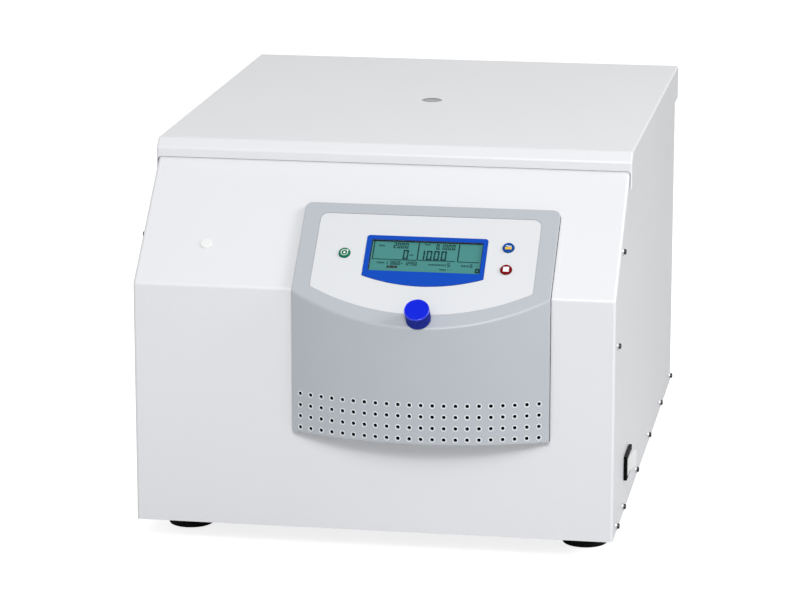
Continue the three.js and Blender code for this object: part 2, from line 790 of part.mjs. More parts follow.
function buildShaft() {
  const spindle = turned(
    [
      [0, motor.top + clearance],
      [shaft.radius, motor.top + clearance],
      [shaft.radius, hubLow - clearance - shaft.seatHeight],
      [shaft.seat, hubLow - clearance - shaft.seatHeight],
      [shaft.seat, hubLow - clearance],
      [shaft.taper, hubLow - clearance],
      [shaft.taper, hubTop - shaft.seatHeight],
      [shaft.thread, hubTop - shaft.seatHeight],
      [shaft.thread, shaftTop],
      [0, shaftTop],
    ],
    0,
    rotorY,
  );
  piece("drive_shaft", spindle, paint.steel);
}

// The cross-shaped head: four arms run out between the buckets, and each tip carries two trunnion pins
function buildRotorHead() {
  const low = pivotHeight - rotor.thickness / 2;
  const high = pivotHeight + rotor.thickness / 2;
  const hub = drum(rotor.hub, hubLow, hubTop, 0, 0, sides.medium);
  const inner = tipInset;
  const outer = pivotRadius + rotor.tipReach;
  const tipShape = outline([
    [inner, inner, 0],
    [outer, inner, bendRadius],
    [outer, inner + rotor.arm / 2, bendRadius],
    [inner + rotor.arm / 2, outer, bendRadius],
    [inner, outer, bendRadius],
  ]);
  const arms = Array.from({ length: bucketCount }, (_, i) => {
    const turn = (i / bucketCount) * Math.PI * 2;
    const bar = new THREE.BoxGeometry((inner + rotor.arm / 2) * Math.SQRT2, rotor.arm, high - low);
    bar.translate(((inner + rotor.arm / 2) * Math.SQRT2) / 2, 0, pivotHeight).rotateZ(Math.PI / 4);
    const tip = upright(tipShape, low, high);
    const reach = inner - trunnion.reach;
    const pinY = drumThroughDepth(
      trunnion.radius,
      reach,
      inner + trunnion.radius,
      pivotRadius,
      pivotHeight,
    );
    const pinX = drumAcross(
      trunnion.radius,
      reach,
      inner + trunnion.radius,
      pivotRadius,
      pivotHeight,
    );
    const pocket = drum(rotor.pocket, pivotHeight, high + overrun, 0, 0, sides.small);
    pocket.translate(inner / 2 + rotor.arm / 3, inner / 2 + rotor.arm / 3, 0);
    const arm = cut(join(bar, tip, pinY, pinX), pocket);
    return geometryOf(arm).rotateZ(turn);
  });
  const bore = drum(shaft.taper + clearance, hubLow - overrun, hubTop + overrun, 0, 0, sides.medium);
  const head = geometryOf(cut(join(hub, arms), bore)).translate(0, rotorY, 0);
  piece("rotor_head", head, paint.alloy);

  const top = nutLow + rotorNut.height;
  const nutBody = join(
    drum(rotorNut.flange, nutLow, nutLow + rotorNut.flangeHeight, 0, rotorY),
    drum(rotorNut.radius, nutLow, top, 0, rotorY),
  );
  const grips = Array.from({ length: rotorNut.grips }, (_, i) => {
    const angle = (i / rotorNut.grips) * Math.PI * 2;
    const reach = rotorNut.radius + rotorNut.gripRadius / 2;
    return drum(
      rotorNut.gripRadius,
      nutLow + rotorNut.flangeHeight,
      top + overrun,
      reach * Math.cos(angle),
      rotorY + reach * Math.sin(angle),
      sides.small,
    );
  });
  const threadHole = drum(
    shaft.thread + clearance,
    nutLow - overrun,
    shaftTop + clearance,
    0,
    rotorY,
    sides.medium,
  );
  piece("rotor_nut", cut(nutBody, grips, threadHole), paint.steel);
}

// A bucket hangs by two open ears on the trunnion pins, so that it can be lifted off
function buildBuckets() {
  const top = pivotHeight + bucket.above;
  const low = pivotHeight - bucket.below;
  const inner = bucket.radius - bucket.wall;
  const profile = [
    [0, low],
    ...arcPoints(
      bucket.radius - bucket.corner,
      low + bucket.corner,
      bucket.corner,
      -Math.PI / 2,
      0,
      bendSteps,
    ),
    [bucket.radius, top - bucket.lipHeight],
    [bucket.radius + bucket.lip, top - bucket.lipHeight],
    [bucket.radius + bucket.lip, top],
    [inner, top],
    ...arcPoints(
      inner - bucket.corner,
      low + bucket.wall + bucket.corner,
      bucket.corner,
      0,
      -Math.PI / 2,
      bendSteps,
    ),
    [0, low + bucket.wall],
  ];
  const earFace = tipInset - clearance * 2;
  const pinEnd = tipInset - trunnion.reach;
  for (let i = 0; i < bucketCount; i++) {
    const cup = turned(profile);
    const earX = bucket.earWidth / 2;
    const earShape = (front, back) =>
      throughDepth(
        rectangle(-earX, earX, pivotHeight - bucket.earRise, pivotHeight + bucket.earRise),
        front,
        back,
      );
    const ears = [earShape(inner + bucket.wall / 2, earFace), earShape(-earFace, -inner - bucket.wall / 2)];
    const slotRadius = boreFor(trunnion.radius);
    const seat = (front, back) => [
      drumThroughDepth(slotRadius, front, back, 0, pivotHeight),
      block(
        [-slotRadius, slotRadius],
        [front, back],
        [pivotHeight - bucket.earRise - overrun, pivotHeight],
      ),
    ];
    const pinGap = pinEnd - clearance;
    const cups = cut(
      join(cup, ears),
      seat(pinGap, earFace + overrun),
      seat(-earFace - overrun, -pinGap),
      turned(
        [
          [0, low + bucket.wall + bucket.corner],
          [inner, low + bucket.wall + bucket.corner],
          [inner, top + overrun],
          [0, top + overrun],
        ],
      ),
    );
    const placed = geometryOf(cups).translate(pivotRadius, 0, 0).rotateZ(
      (i / bucketCount) * Math.PI * 2,
    );
    piece(`bucket_${i + 1}`, placed.translate(0, rotorY, 0), paint.alloy);
  }
}

// The lid's side outline, drawn in by an inset, with its bottom at a height
function lidOutline(inset, bottom) {
  const foldAngle = Math.atan2(lid.foldDrop, lid.foldRun);
  const lowFold = lidTop - lid.foldDrop - (inset * (1 - Math.sin(foldAngle))) / Math.cos(foldAngle);
  const topFold = lidFront + lid.foldRun + (inset * (1 - Math.cos(foldAngle))) / Math.sin(foldAngle);
  return outline([
    [lidFront + inset, bottom],
    [lidBack - inset, bottom],
    [lidBack - inset, lidTop - inset, Math.max(lid.bend - inset, 0)],
    [topFold, lidTop - inset],
    [lidFront + inset, lowFold],
  ]);
}

const lidInside = lidTop - sheet;
const linerTop = lidInside - clearance;
const linerLow = linerTop - liner.thickness;
const springX = half - spring.inset;
const springLidY = casingDepth - spring.lidInset;
const springLidZ = linerLow - spring.lidDrop;
const springBaseY = springLidY - spring.baseAhead;

function buildLid() {
  const skin = across(lidOutline(0, lidSkirt - overrun), -lidSide, lidSide, lid.edge);
  const room = across(
    lidOutline(sheet, lidSkirt - overrun * 2),
    -lidSide + sheet,
    lidSide - sheet,
    lid.edge - sheet,
  );
  const reach = lidSide + overrun;
  const keep = block(
    [-reach, reach],
    [lidFront - overrun, lidBack + overrun],
    [lidSkirt, lidTop + overrun],
  );
  const mouthX = lidSide - sheet;
  const mouthShape = outline([
    [-mouthX, lidSkirt - overrun],
    [mouthX, lidSkirt - overrun],
    [mouthX, lidTop - lid.lipDrop, lid.lipCorner],
    [-mouthX, lidTop - lid.lipDrop, lid.lipCorner],
  ]);
  const mouth = throughDepth(mouthShape, lidFront - overrun, lidFront + sheet + overrun);
  const portHole = drum(
    port.radius + clearance,
    lidInside - overrun,
    lidTop + overrun,
    0,
    rotorY,
    sides.medium,
  );
  piece("lid_shell", cut(common(cut(skin, room), keep), mouth, portHole), paint.casing);

  const linerX = lidSide - liner.sideInset;
  const plate = upright(
    rectangle(
      -linerX,
      linerX,
      lidFront + liner.frontInset,
      lidBack - liner.backInset,
      liner.corner,
    ),
    linerLow,
    linerTop,
  );
  const disc = drum(bowlRadius - liner.discInset, linerLow - liner.discDrop, linerLow + liner.discDrop, 0, rotorY, sides.large);
  const brackets = [-1, 1].map((side) => lidSpringLug(side));
  const strikerSeats = [-1, 1].map((side) => {
    const x = side * striker.x;
    return block(
      [x - striker.width, x + striker.width],
      [strikerY - striker.width, strikerY + striker.width],
      [linerLow - liner.discDrop, linerLow + liner.discDrop],
    );
  });
  const windowHole = drum(
    port.stem + clearance,
    linerLow - overrun * 2,
    linerTop + overrun,
    0,
    rotorY,
    sides.medium,
  );
  piece("lid_liner", cut(join(plate, disc, strikerSeats, brackets), windowHole), paint.white);

  const portTop = lidTop + port.proud;
  const window = turned(
    [
      [0, linerLow - liner.discDrop - port.tail],
      [port.stem, linerLow - liner.discDrop - port.tail],
      [port.stem, lidInside + clearance / 2],
      [port.radius, lidInside + clearance / 2],
      [port.radius, portTop],
      [0, portTop],
    ],
    0,
    rotorY,
  );
  piece("view_port", window, paint.glass);
}

// The tab under the liner beside the upper eye of a gas spring
function lidSpringLug(side) {
  const inner = side * (springX + springEye.thickness / 2 + springLug.gap);
  const outer = inner + side * springLug.thickness;
  const tab = outline([
    [springLidY - springLug.width / 2, linerLow + liner.discDrop / 2],
    [springLidY - springLug.width / 2, springLidZ, springEye.neck],
    [springLidY, springLidZ - springEye.radius, springEye.neck],
    [springLidY + springLug.width / 2, springLidZ, springEye.neck],
    [springLidY + springLug.width / 2, linerLow + liner.discDrop / 2],
  ]);
  return across(tab, Math.min(inner, outer), Math.max(inner, outer));
}

function buildLocks() {
  const seat = linerLow - liner.discDrop - clearance;
  const deckUnder = deckHeight - sheet - clearance;
  for (const [where, side] of Object.entries({ left: -1, right: 1 })) {
    const x = side * striker.x;
    const flat = (a, b) => [Math.min(a, b), Math.max(a, b)];
    const plate = block(
      [x - striker.thickness / 2, x + striker.thickness / 2],
      [strikerY - striker.width / 2, strikerY + striker.width / 2],
      [seat - striker.drop, seat],
    );
    const head = block(
      [x - striker.width / 2, x + striker.width / 2],
      [strikerY - striker.width / 2, strikerY + striker.width / 2],
      [seat - striker.thickness, seat],
    );
    const windowTop = seat - striker.windowTop;
    const window = block(
      [x - overrun, x + overrun],
      [strikerY - striker.windowWidth / 2, strikerY + striker.windowWidth / 2],
      [windowTop - striker.windowHeight, windowTop],
    );
    piece(`lid_striker_${where}`, cut(join(plate, head), window), paint.steel);

    const pinX = x + side * lock.pinX;
    const pinZ = deckUnder - lock.pinDrop;
    const outerX = x + side * lock.reachX;
    const bracketY = [-1, 1].map((face) => {
      const near = strikerY + face * lock.sideGap;
      return block(
        flat(x - side * lock.sideGap, outerX),
        flat(near, near + face * lock.plate),
        [deckUnder - lock.height, deckUnder],
      );
    });
    const backWall = block(
      flat(outerX, outerX - side * lock.plate),
      [strikerY - lock.sideGap - lock.plate, strikerY + lock.sideGap + lock.plate],
      [deckUnder - lock.height, deckUnder],
    );
    const floor = block(
      flat(x - side * lock.sideGap, outerX),
      [strikerY - lock.sideGap - lock.plate, strikerY + lock.sideGap + lock.plate],
      [deckUnder - lock.height, deckUnder - lock.height + lock.plate],
    );
    const pin = drumThroughDepth(
      lock.pinRadius,
      strikerY - lock.sideGap - lock.plate,
      strikerY + lock.sideGap + lock.plate,
      pinX,
      pinZ,
    );
    const can = drum(
      lock.canRadius,
      deckUnder - lock.height - lock.canHeight,
      deckUnder - lock.height + lock.plate / 2,
      (x + outerX) / 2,
      strikerY,
    );
    piece(`lock_unit_${where}`, join(...bracketY, backWall, floor, pin, can), paint.steel);

    const noseZ = pinZ + latch.arm;
    const noseX = pinX - side * latch.noseReach;
    const hook = outline([
      [pinX - latch.radius * side, pinZ - latch.radius],
      [pinX + latch.radius * side, pinZ - latch.radius],
      [pinX + latch.radius * side, noseZ],
      [noseX, noseZ],
      [noseX, noseZ - latch.noseHeight],
      [pinX - latch.radius * side, noseZ - latch.noseHeight],
    ]);
    const body = throughDepth(hook, strikerY - latch.thickness / 2, strikerY + latch.thickness / 2);
    const hole = drumThroughDepth(
      boreFor(lock.pinRadius),
      strikerY - overrun,
      strikerY + overrun,
      pinX,
      pinZ,
    );
    piece(`lock_latch_${where}`, cut(body, hole), paint.steel);
  }
}

function buildHinges() {
  const knuckle = hinge.width / 3;
  const plateFace = casingDepth + clearance;
  const wallFace = lidBack - sheet - clearance;
  for (const [where, side] of Object.entries({ left: -1, right: 1 })) {
    const x = (side * hinge.spacing) / 2;
    const left = x - hinge.width / 2;
    const right = x + hinge.width / 2;
    const plate = block(
      [left, right],
      [plateFace, plateFace + hinge.leafSheet],
      [hingeZ - hinge.width / 2, hingeZ + hinge.barrelRadius],
    );
    const ends = [
      drumAcross(hinge.barrelRadius, left, left + knuckle, hingeY, hingeZ),
      drumAcross(hinge.barrelRadius, right - knuckle, right, hingeY, hingeZ),
    ];
    const swing = drumAcross(
      boreFor(hinge.barrelRadius),
      left + knuckle - clearance,
      right - knuckle + clearance,
      hingeY,
      hingeZ,
    );
    const pin = drumAcross(hinge.pinRadius, left, right, hingeY, hingeZ);
    piece(`hinge_base_${where}`, join(cut(join(plate, ...ends), swing), pin), paint.steel);

    const leafLeft = left + knuckle + clearance;
    const leafRight = right - knuckle - clearance;
    const barrel = drumAcross(hinge.barrelRadius, leafLeft, leafRight, hingeY, hingeZ);
    const leaf = block([leafLeft, leafRight], [wallFace - hinge.leafSheet, wallFace], [hingeZ, linerLow]);
    const bore = drumAcross(
      boreFor(hinge.pinRadius),
      leafLeft - overrun,
      leafRight + overrun,
      hingeY,
      hingeZ,
    );
    piece(`hinge_leaf_${where}`, cut(join(barrel, leaf), bore), paint.steel);
  }
}

function buildGasSprings() {
  const rise = Math.hypot(springLidY - springBaseY, springLidZ - spring.baseZ);
  const lean = Math.atan2(springLidY - springBaseY, springLidZ - spring.baseZ);
  const rodLow = spring.barrel - spring.rodInside;
  const eye = (height) =>
    drumAcross(springEye.radius, -springEye.thickness / 2, springEye.thickness / 2, 0, height, sides.medium);
  const tube = turned([
    [0, springEye.radius - springEye.shank / 2],
    [springEye.shank, springEye.radius - springEye.shank / 2],
    [springEye.shank, springEye.radius + springEye.shank],
    [spring.radius, springEye.radius + springEye.neck],
    [spring.radius, spring.barrel],
    [spring.bore, spring.barrel],
    [spring.bore, rodLow - springEye.neck],
    [0, rodLow - springEye.neck],
  ]);
  const barrel = cut(
    join(tube, eye(0)),
    drumAcross(boreFor(springEye.pin), -spring.radius, spring.radius, 0, 0),
  );
  const plunger = join(drum(spring.rod, rodLow, rise - springEye.neck / 2, 0, 0, sides.small), eye(rise));
  for (const [where, side] of Object.entries({ left: -1, right: 1 })) {
    const stub = drumAcross(springEye.pin, 0, springEye.thickness / 2 + springLug.gap - clearance, 0, rise);
    const rod = join(plunger, side > 0 ? stub : stub.rotateZ(Math.PI));
    const seat = new THREE.Group();
    seat.position.set(side * springX, springBaseY, spring.baseZ);
    seat.rotation.x = -lean;
    casing.add(seat);
    piece(`gas_spring_tube_${where}`, barrel, paint.black, seat);
    piece(`gas_spring_rod_${where}`, rod, paint.steel, seat);
  }
}

// A closed outline with a straight top, straight sides and a bottom that sags in an arc
function saggingOutline({ left, right, top, side, middle, corner }, inset = 0) {
  const halfChord = (right - left) / 2;
  const sag = side - middle;
  const radius = (halfChord * halfChord + sag * sag) / (2 * sag);
  const centreX = (left + right) / 2;
  const centreY = middle + radius;
  const reach = Math.asin((halfChord - inset) / (radius - inset));
  const shape = new THREE.Shape();
  const bottom = -Math.PI / 2;
  const round = corner - inset;
  const [west, east, north] = [left + inset, right - inset, top - inset];
  shape.absarc(centreX, centreY, radius - inset, bottom - reach, bottom + reach, false);
  shape.lineTo(east, north - round);
  shape.quadraticCurveTo(east, north, east - round, north);
  shape.lineTo(west + round, north);
  shape.quadraticCurveTo(west, north, west, north - round);
  return shape;
}

// The fascia's plan: straight back, sides, and a front that bulges in an arc
function bulgePlan(inset) {
  const halfChord = (fascia.right - fascia.left) / 2;
  const sag = fascia.midProud - fascia.sideProud;
  const radius = (halfChord * halfChord + sag * sag) / (2 * sag);
  const centreX = (fascia.left + fascia.right) / 2;
  const centreY = radius - fascia.midProud;
  const reach = Math.asin((halfChord - inset) / (radius - inset));
  const shape = new THREE.Shape();
  shape.moveTo(fascia.right - inset, casingDepth / 2);
  shape.lineTo(fascia.left + inset, casingDepth / 2);
  shape.absarc(centreX, centreY, radius - inset, -Math.PI / 2 - reach, -Math.PI / 2 + reach, false);
  return shape;
}

// The control fascia: a slab on the slope that runs down into a bulging, perforated air intake
function buildFascia() {
  const slab = (inset) => {
    const low = -fascia.top * 2;
    const shape = outline([
      [fascia.left + inset, low],
      [fascia.right - inset, low],
      [fascia.right - inset, fascia.top - inset, fascia.corner - inset],
      [fascia.left + inset, fascia.top - inset, fascia.corner - inset],
    ]);
    return onPanel(upright(shape, low, fascia.face - inset));
  };
  const body = (inset) => common(
    upright(bulgePlan(inset), fascia.bottom + inset, casingDepth, curveSteps),
    slab(inset),
  );
  const casingSolid = across(
    casingOutline(-clearance, overrun),
    fascia.left - overrun,
    fascia.right + overrun,
  );
  const bosses = [fasciaBoss.left, fasciaBoss.right].flatMap((x) =>
    [fasciaBoss.low, fasciaBoss.high].map((s) =>
      onPanel(
        drum(
          fasciaBoss.radius,
          board.level + board.thickness + clearance,
          fascia.face - fascia.wall / 2,
          x,
          s,
          sides.small,
        ),
      ),
    ),
  );
  const pocketFloor = fascia.face - membrane.recess;
  const pocket = onPanel(
    upright(saggingOutline(membraneShape, -clearance), pocketFloor, fascia.face + overrun, curveSteps),
  );
  const edge = clearance;
  const displayHole = onPanel(
    block(
      [display.left - edge, display.right + edge],
      [display.bottom - edge, display.top + edge],
      [-overrun, fascia.face + overrun],
    ),
  );
  const keyHoles = Object.values(keyPlaces).map(([x, s]) =>
    onPanel(drum(key.radius + clearance, -overrun, fascia.face + overrun, x, s, sides.medium)),
  );
  const knobHole = onPanel(
    drum(encoder.collar + clearance, -overrun, fascia.face + overrun, knob.x, knobS, sides.small),
  );
  const vents = [];
  for (let column = 0; column < vent.columns; column++) {
    const x = vent.first + ((vent.last - vent.first) * column) / (vent.columns - 1);
    for (let row = 0; row < vent.rows; row++) {
      const z = vent.low + ((vent.high - vent.low) * row) / (vent.rows - 1);
      const hole = new THREE.CylinderGeometry(
        vent.radius,
        vent.radius,
        fascia.midProud + overrun,
        sides.vent,
      );
      vents.push(hole.translate(x, -(fascia.midProud + overrun) / 2 - clearance, z));
    }
  }
  const shell = cut(body(0), body(fascia.wall), casingSolid);
  piece(
    "control_fascia",
    cut(join(shell, bosses), pocket, displayHole, keyHoles, knobHole, vents),
    paint.moulding,
  );
}

function buildPanelPieces() {
  const membraneLow = fascia.face - membrane.recess + clearance;
  const membraneTop = membraneLow + membrane.thickness;
  const film = upright(saggingOutline(membraneShape), membraneLow, membraneTop, curveSteps);
  const opening = upright(
    saggingOutline(surround, -clearance),
    membraneLow - overrun,
    membraneTop + overrun,
    curveSteps,
  );
  const keyHoles = Object.values(keyPlaces).map(([x, s]) =>
    drum(key.radius + clearance, membraneLow - overrun, membraneTop + overrun, x, s),
  );
  const knobHole = drum(
    knob.radius + clearance,
    membraneLow - overrun,
    membraneTop + overrun,
    knob.x,
    knobS,
  );
  piece("membrane_panel", cut(film, opening, keyHoles, knobHole), paint.white, panel);

  const frame = upright(saggingOutline(surround), membraneLow, membraneLow + surround.thickness, curveSteps);
  const edge = clearance;
  const pane = block(
    [display.left - edge, display.right + edge],
    [display.bottom - edge, display.top + edge],
    [membraneLow - overrun, fascia.face + overrun],
  );
  piece("display_surround", cut(frame, pane), paint.blue, panel);

  const boardTop = board.level + board.thickness;
  const glass = block(
    [display.left, display.right],
    [display.bottom, display.top],
    [display.shoulder - display.border, display.face],
  );
  const module = block(
    [display.left - display.border, display.right + display.border],
    [display.bottom - display.border, display.top + display.border],
    [boardTop + clearance, display.shoulder],
  );
  piece("lcd_display", join(glass, module), paint.glass, panel);

  const boardShape = outline([
    [board.left, board.bottom],
    [board.tongueLeft, board.bottom],
    [board.tongueLeft, knobS - board.tongueReach],
    [board.tongueRight, knobS - board.tongueReach],
    [board.tongueRight, board.bottom],
    [board.right, board.bottom],
    [board.right, board.top],
    [board.left, board.top],
  ]);
  const switchTop = boardTop + tactSwitch.height;
  const tacts = Object.values(keyPlaces).map(([x, s]) =>
    block(
      [x - tactSwitch.side / 2, x + tactSwitch.side / 2],
      [s - tactSwitch.side / 2, s + tactSwitch.side / 2],
      [board.level, switchTop],
    ),
  );
  piece("control_board", join(upright(boardShape, board.level, boardTop), tacts), paint.circuit, panel);

  for (const [name, [x, s]] of Object.entries(keyPlaces)) {
    const finish = { start_key: paint.green, stop_key: paint.red, lid_key: paint.blue }[name];
    const cap = turned(
      [
        [0, key.face - key.capDepth],
        [key.radius, key.face - key.capDepth],
        [key.radius, key.face - key.travel / 2],
        [key.radius - key.travel, key.face],
        [0, key.face],
      ],
      x,
      s,
    );
    const stem = drum(
      key.stem,
      switchTop + key.travel + clearance,
      key.face - key.capDepth / 2,
      x,
      s,
      sides.small,
    );
    piece(name, join(cap, stem), finish, panel);
  }

  const encoderTop = boardTop + clearance + encoder.height;
  const encoderX = encoder.side / 2;
  const encoderBody = join(
    block(
      [knob.x - encoderX, knob.x + encoderX],
      [knobS - encoderX, knobS + encoderX],
      [boardTop + clearance, encoderTop],
    ),
    drum(
      encoder.collar,
      encoderTop - encoder.height / 2,
      fascia.face - fascia.wall / 2,
      knob.x,
      knobS,
      sides.small,
    ),
    drum(encoder.shaft, encoderTop, knob.top - knob.radius / 2, knob.x, knobS, sides.small),
  );
  piece("knob_encoder", encoderBody, paint.alloy, panel);

  const ribbed = new THREE.Shape();
  const flanks = knob.ribs * 2;
  for (let i = 0; i < flanks; i++) {
    const reach = knob.radius - (i % 2 === 0 ? 0 : knob.ribDepth);
    const angle = (i / flanks) * Math.PI * 2;
    const move = i === 0 ? "moveTo" : "lineTo";
    ribbed[move](knob.x + reach * Math.cos(angle), knobS + reach * Math.sin(angle));
  }
  const capLow = knob.top - knob.capHeight;
  const skirt = upright(ribbed, fascia.face + knob.lift, capLow);
  const cap = drum(knob.cap, capLow - knob.capHeight, knob.top, knob.x, knobS);
  const socket = drum(knob.bore, 0, knob.top - knob.radius / 2 + clearance, knob.x, knobS, sides.small);
  piece("control_knob", cut(join(skirt, cap), socket), paint.blue, panel);

  const button = turned(
    [
      [0, -plug.stemLength],
      [plug.stem - plug.head, -plug.stemLength],
      [plug.stem, -plug.stemLength / 2],
      [plug.stem, clearance],
      [plug.radius, clearance],
      [plug.radius, plug.head / 2],
      [plug.radius - plug.head, plug.head],
      [0, plug.head],
    ],
    plug.x,
    plug.s,
  );
  piece("release_plug", button, paint.white, panel);
}

function buildMainsSwitch() {
  const wallFace = half + clearance;
  const halfLength = mains.length / 2;
  const halfHeight = mains.height / 2;
  const bezel = across(
    rectangle(
      mains.y - halfLength,
      mains.y + halfLength,
      mains.z - halfHeight,
      mains.z + halfHeight,
      bendRadius / 2,
    ),
    wallFace,
    half + mains.proud,
  );
  const bodyY = halfLength - mains.wall;
  const bodyZ = halfHeight - mains.wall;
  const body = block(
    [half - mains.depth, wallFace + mains.proud / 2],
    [mains.y - bodyY, mains.y + bodyY],
    [mains.z - bodyZ, mains.z + bodyZ],
  );
  const openY = rocker.radius + runningGap;
  const openZ = halfHeight - mains.bezel;
  const room = block(
    [half - mains.depth + mains.wall, half + mains.proud + overrun],
    [mains.y - openY, mains.y + openY],
    [mains.z - openZ, mains.z + openZ],
  );
  const pivotX = half - rocker.pivotDepth;
  const pin = drum(
    mains.wall,
    mains.z - openZ - mains.wall / 2,
    mains.z + openZ + mains.wall / 2,
    pivotX,
    mains.y,
    sides.small,
  );
  piece("switch_frame", join(cut(join(bezel, body), room), pin), paint.black);

  const faceAngle = Math.atan2(rocker.face + rocker.pivotDepth, rocker.radius);
  const tilt = rocker.halfAngle * 2;
  const face = rocker.face + rocker.pivotDepth;
  const highReach = rocker.radius * Math.cos(faceAngle + tilt);
  const shape = new THREE.Shape();
  shape.moveTo(face, 0);
  shape.lineTo(face, -rocker.radius * Math.cos(faceAngle));
  shape.lineTo(-rocker.belly / 2, -rocker.radius * Math.cos(faceAngle));
  shape.lineTo(-rocker.belly, -rocker.radius / 2);
  shape.lineTo(-rocker.belly, rocker.radius / 2);
  shape.lineTo(0, highReach);
  shape.lineTo(face + highReach * Math.tan(tilt), highReach);
  const stack = upright(
    shape,
    mains.z - openZ + clearance,
    mains.z + openZ - clearance,
  ).translate(pivotX, mains.y, 0);
  const bore = drum(
    boreFor(mains.wall),
    mains.z - openZ - overrun,
    mains.z + openZ + overrun,
    pivotX,
    mains.y,
    sides.small,
  );
  piece("mains_rocker", cut(stack, bore), paint.white);
}

function buildPowerUnit() {
  const low = basePan.floor + clearance;
  const core = block(
    [power.left, power.right],
    [power.front, power.back],
    [low, low + power.base + power.height / 2],
  );
  const finPitch = (power.right - power.left) / power.fins;
  const fins = Array.from({ length: power.fins }, (_, i) => {
    const left = power.left + i * finPitch;
    return block(
      [left, left + finPitch - power.finGap],
      [power.front, power.back],
      [low + power.base, low + power.height],
    );
  });
  piece("power_unit", join(core, fins), paint.alloy);
}

buildHood();
buildBasePan();
buildFeet();
buildRearPanel();
buildFan();
buildInlet();
buildDeck();
buildBowl();
buildGuardRing();
buildDrive();
buildShaft();
buildRotorHead();
buildBuckets();
buildLid();
buildLocks();
buildHinges();
buildGasSprings();
buildFascia();
buildPanelPieces();
buildMainsSwitch();
buildPowerUnit();

// The origin is on the ground under the middle of the whole object
const frontReach = (knobS - knob.radius) * cosPanel - knob.top * sinPanel;
const rockerReach = rocker.radius * Math.cos(
  rocker.halfAngle * 2,
) * Math.tan(rocker.halfAngle * 2) + rocker.face;
casing.position.set(-(half + rockerReach - lidSide) / 2, -(lidBack + frontReach) / 2, foot.height);

const centrifuge = new THREE.Group();
centrifuge.add(casing);

export default centrifuge;
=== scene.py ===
"""A benchtop centrifuge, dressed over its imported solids: casing, lid, control panel, bowl and rotor."""

import json
import math
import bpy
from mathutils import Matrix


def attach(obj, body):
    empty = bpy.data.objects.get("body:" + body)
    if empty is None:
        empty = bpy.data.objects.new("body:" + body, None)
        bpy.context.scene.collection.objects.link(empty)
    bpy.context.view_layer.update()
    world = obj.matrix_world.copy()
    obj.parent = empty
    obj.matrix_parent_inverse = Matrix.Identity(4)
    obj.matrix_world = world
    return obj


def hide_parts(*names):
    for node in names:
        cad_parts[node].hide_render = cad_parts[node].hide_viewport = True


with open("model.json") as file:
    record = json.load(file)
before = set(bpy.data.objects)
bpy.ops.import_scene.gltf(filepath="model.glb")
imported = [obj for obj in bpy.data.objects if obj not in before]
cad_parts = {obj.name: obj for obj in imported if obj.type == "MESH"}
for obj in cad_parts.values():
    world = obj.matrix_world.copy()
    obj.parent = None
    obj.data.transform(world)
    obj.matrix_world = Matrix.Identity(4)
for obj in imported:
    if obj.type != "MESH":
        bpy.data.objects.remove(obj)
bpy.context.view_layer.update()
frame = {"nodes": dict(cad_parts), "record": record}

from types import SimpleNamespace as Sizes

import bpy
from mathutils import Matrix, Vector

# The drawing's millimetres have their origin at the casing: middle, front, bottom edge
MM = 0.001
ORIGIN = Vector((-3.6918, -304.6991, 28.0))
CLEARANCE = 0.3
# How far a cutter runs past what it cuts
OVERRUN = 6
NEAR = 0.01
SIDES = (-1, 1)

# Driving sizes of the casing
HALF_WIDTH = 250
DEPTH = 648
DECK_HEIGHT = 366
CREASE = Vector((0, 0, 254.4))
PANEL_TILT = math.radians(41.5)
SHEET = 1.5
ROTOR_Y = 390.0


def span(middle, half):
    return (middle - half, middle + half)


def select_only(*objects):
    if bpy.context.object and bpy.context.object.mode != "OBJECT":
        bpy.ops.object.mode_set(mode="OBJECT")
    bpy.ops.object.select_all(action="DESELECT")
    for piece in objects:
        piece.select_set(True)
    bpy.context.view_layer.objects.active = objects[0]


def bake_place(piece):
    select_only(piece)
    bpy.ops.object.transform_apply(location=True, rotation=True, scale=True)
    return piece


def named(name):
    piece = bpy.context.object
    piece.name = name
    return piece


def block(name, x, y, z):
    """A box between two sides, two depths and two heights, in the drawing's millimetres."""
    size = Vector((x[1] - x[0], y[1] - y[0], z[1] - z[0])) * MM
    middle = Vector((x[0] + x[1], y[0] + y[1], z[0] + z[1])) * MM / 2
    bpy.ops.object.select_all(action="DESELECT")
    bpy.ops.mesh.primitive_cube_add(size=1, location=middle, scale=size)
    return bake_place(named(name))


def drum(name, radius, low, high, x=0.0, y=0.0, sides=64):
    """An upright cylinder between two heights."""
    middle = (x * MM, y * MM, (low + high) * MM / 2)
    bpy.ops.object.select_all(action="DESELECT")
    bpy.ops.mesh.primitive_cylinder_add(
        vertices=sides, radius=radius * MM, depth=(high - low) * MM, location=middle
    )
    return bake_place(named(name))


def turned(name, profile, sides=64, ring=False):
    """A round piece drawn up step by step from a disc, or from an open ring that ends where it began."""
    radius, height = profile[0]
    fill = "NOTHING" if ring else "NGON"
    start = (0, 0, height * MM)
    bpy.ops.object.select_all(action="DESELECT")
    bpy.ops.mesh.primitive_circle_add(vertices=sides, radius=radius * MM, fill_type=fill, location=start)
    piece = bake_place(named(name))
    bpy.ops.object.mode_set(mode="EDIT")
    bpy.ops.mesh.select_all(action="SELECT")
    for next_radius, next_height in profile[1:]:
        rise = {"value": (0, 0, (next_height - height) * MM)}
        if ring:
            bpy.ops.mesh.extrude_edges_move(TRANSFORM_OT_translate=rise)
        else:
            bpy.ops.mesh.extrude_region_move(TRANSFORM_OT_translate=rise)
        share = next_radius / radius
        bpy.ops.transform.resize(value=(share, share, 1), center_override=(0, 0, next_height * MM))
        radius, height = next_radius, next_height
    bpy.ops.mesh.select_all(action="SELECT")
    bpy.ops.mesh.remove_doubles(threshold=1e-6)
    bpy.ops.mesh.normals_make_consistent(inside=False)
    bpy.ops.object.mode_set(mode="OBJECT")
    return piece


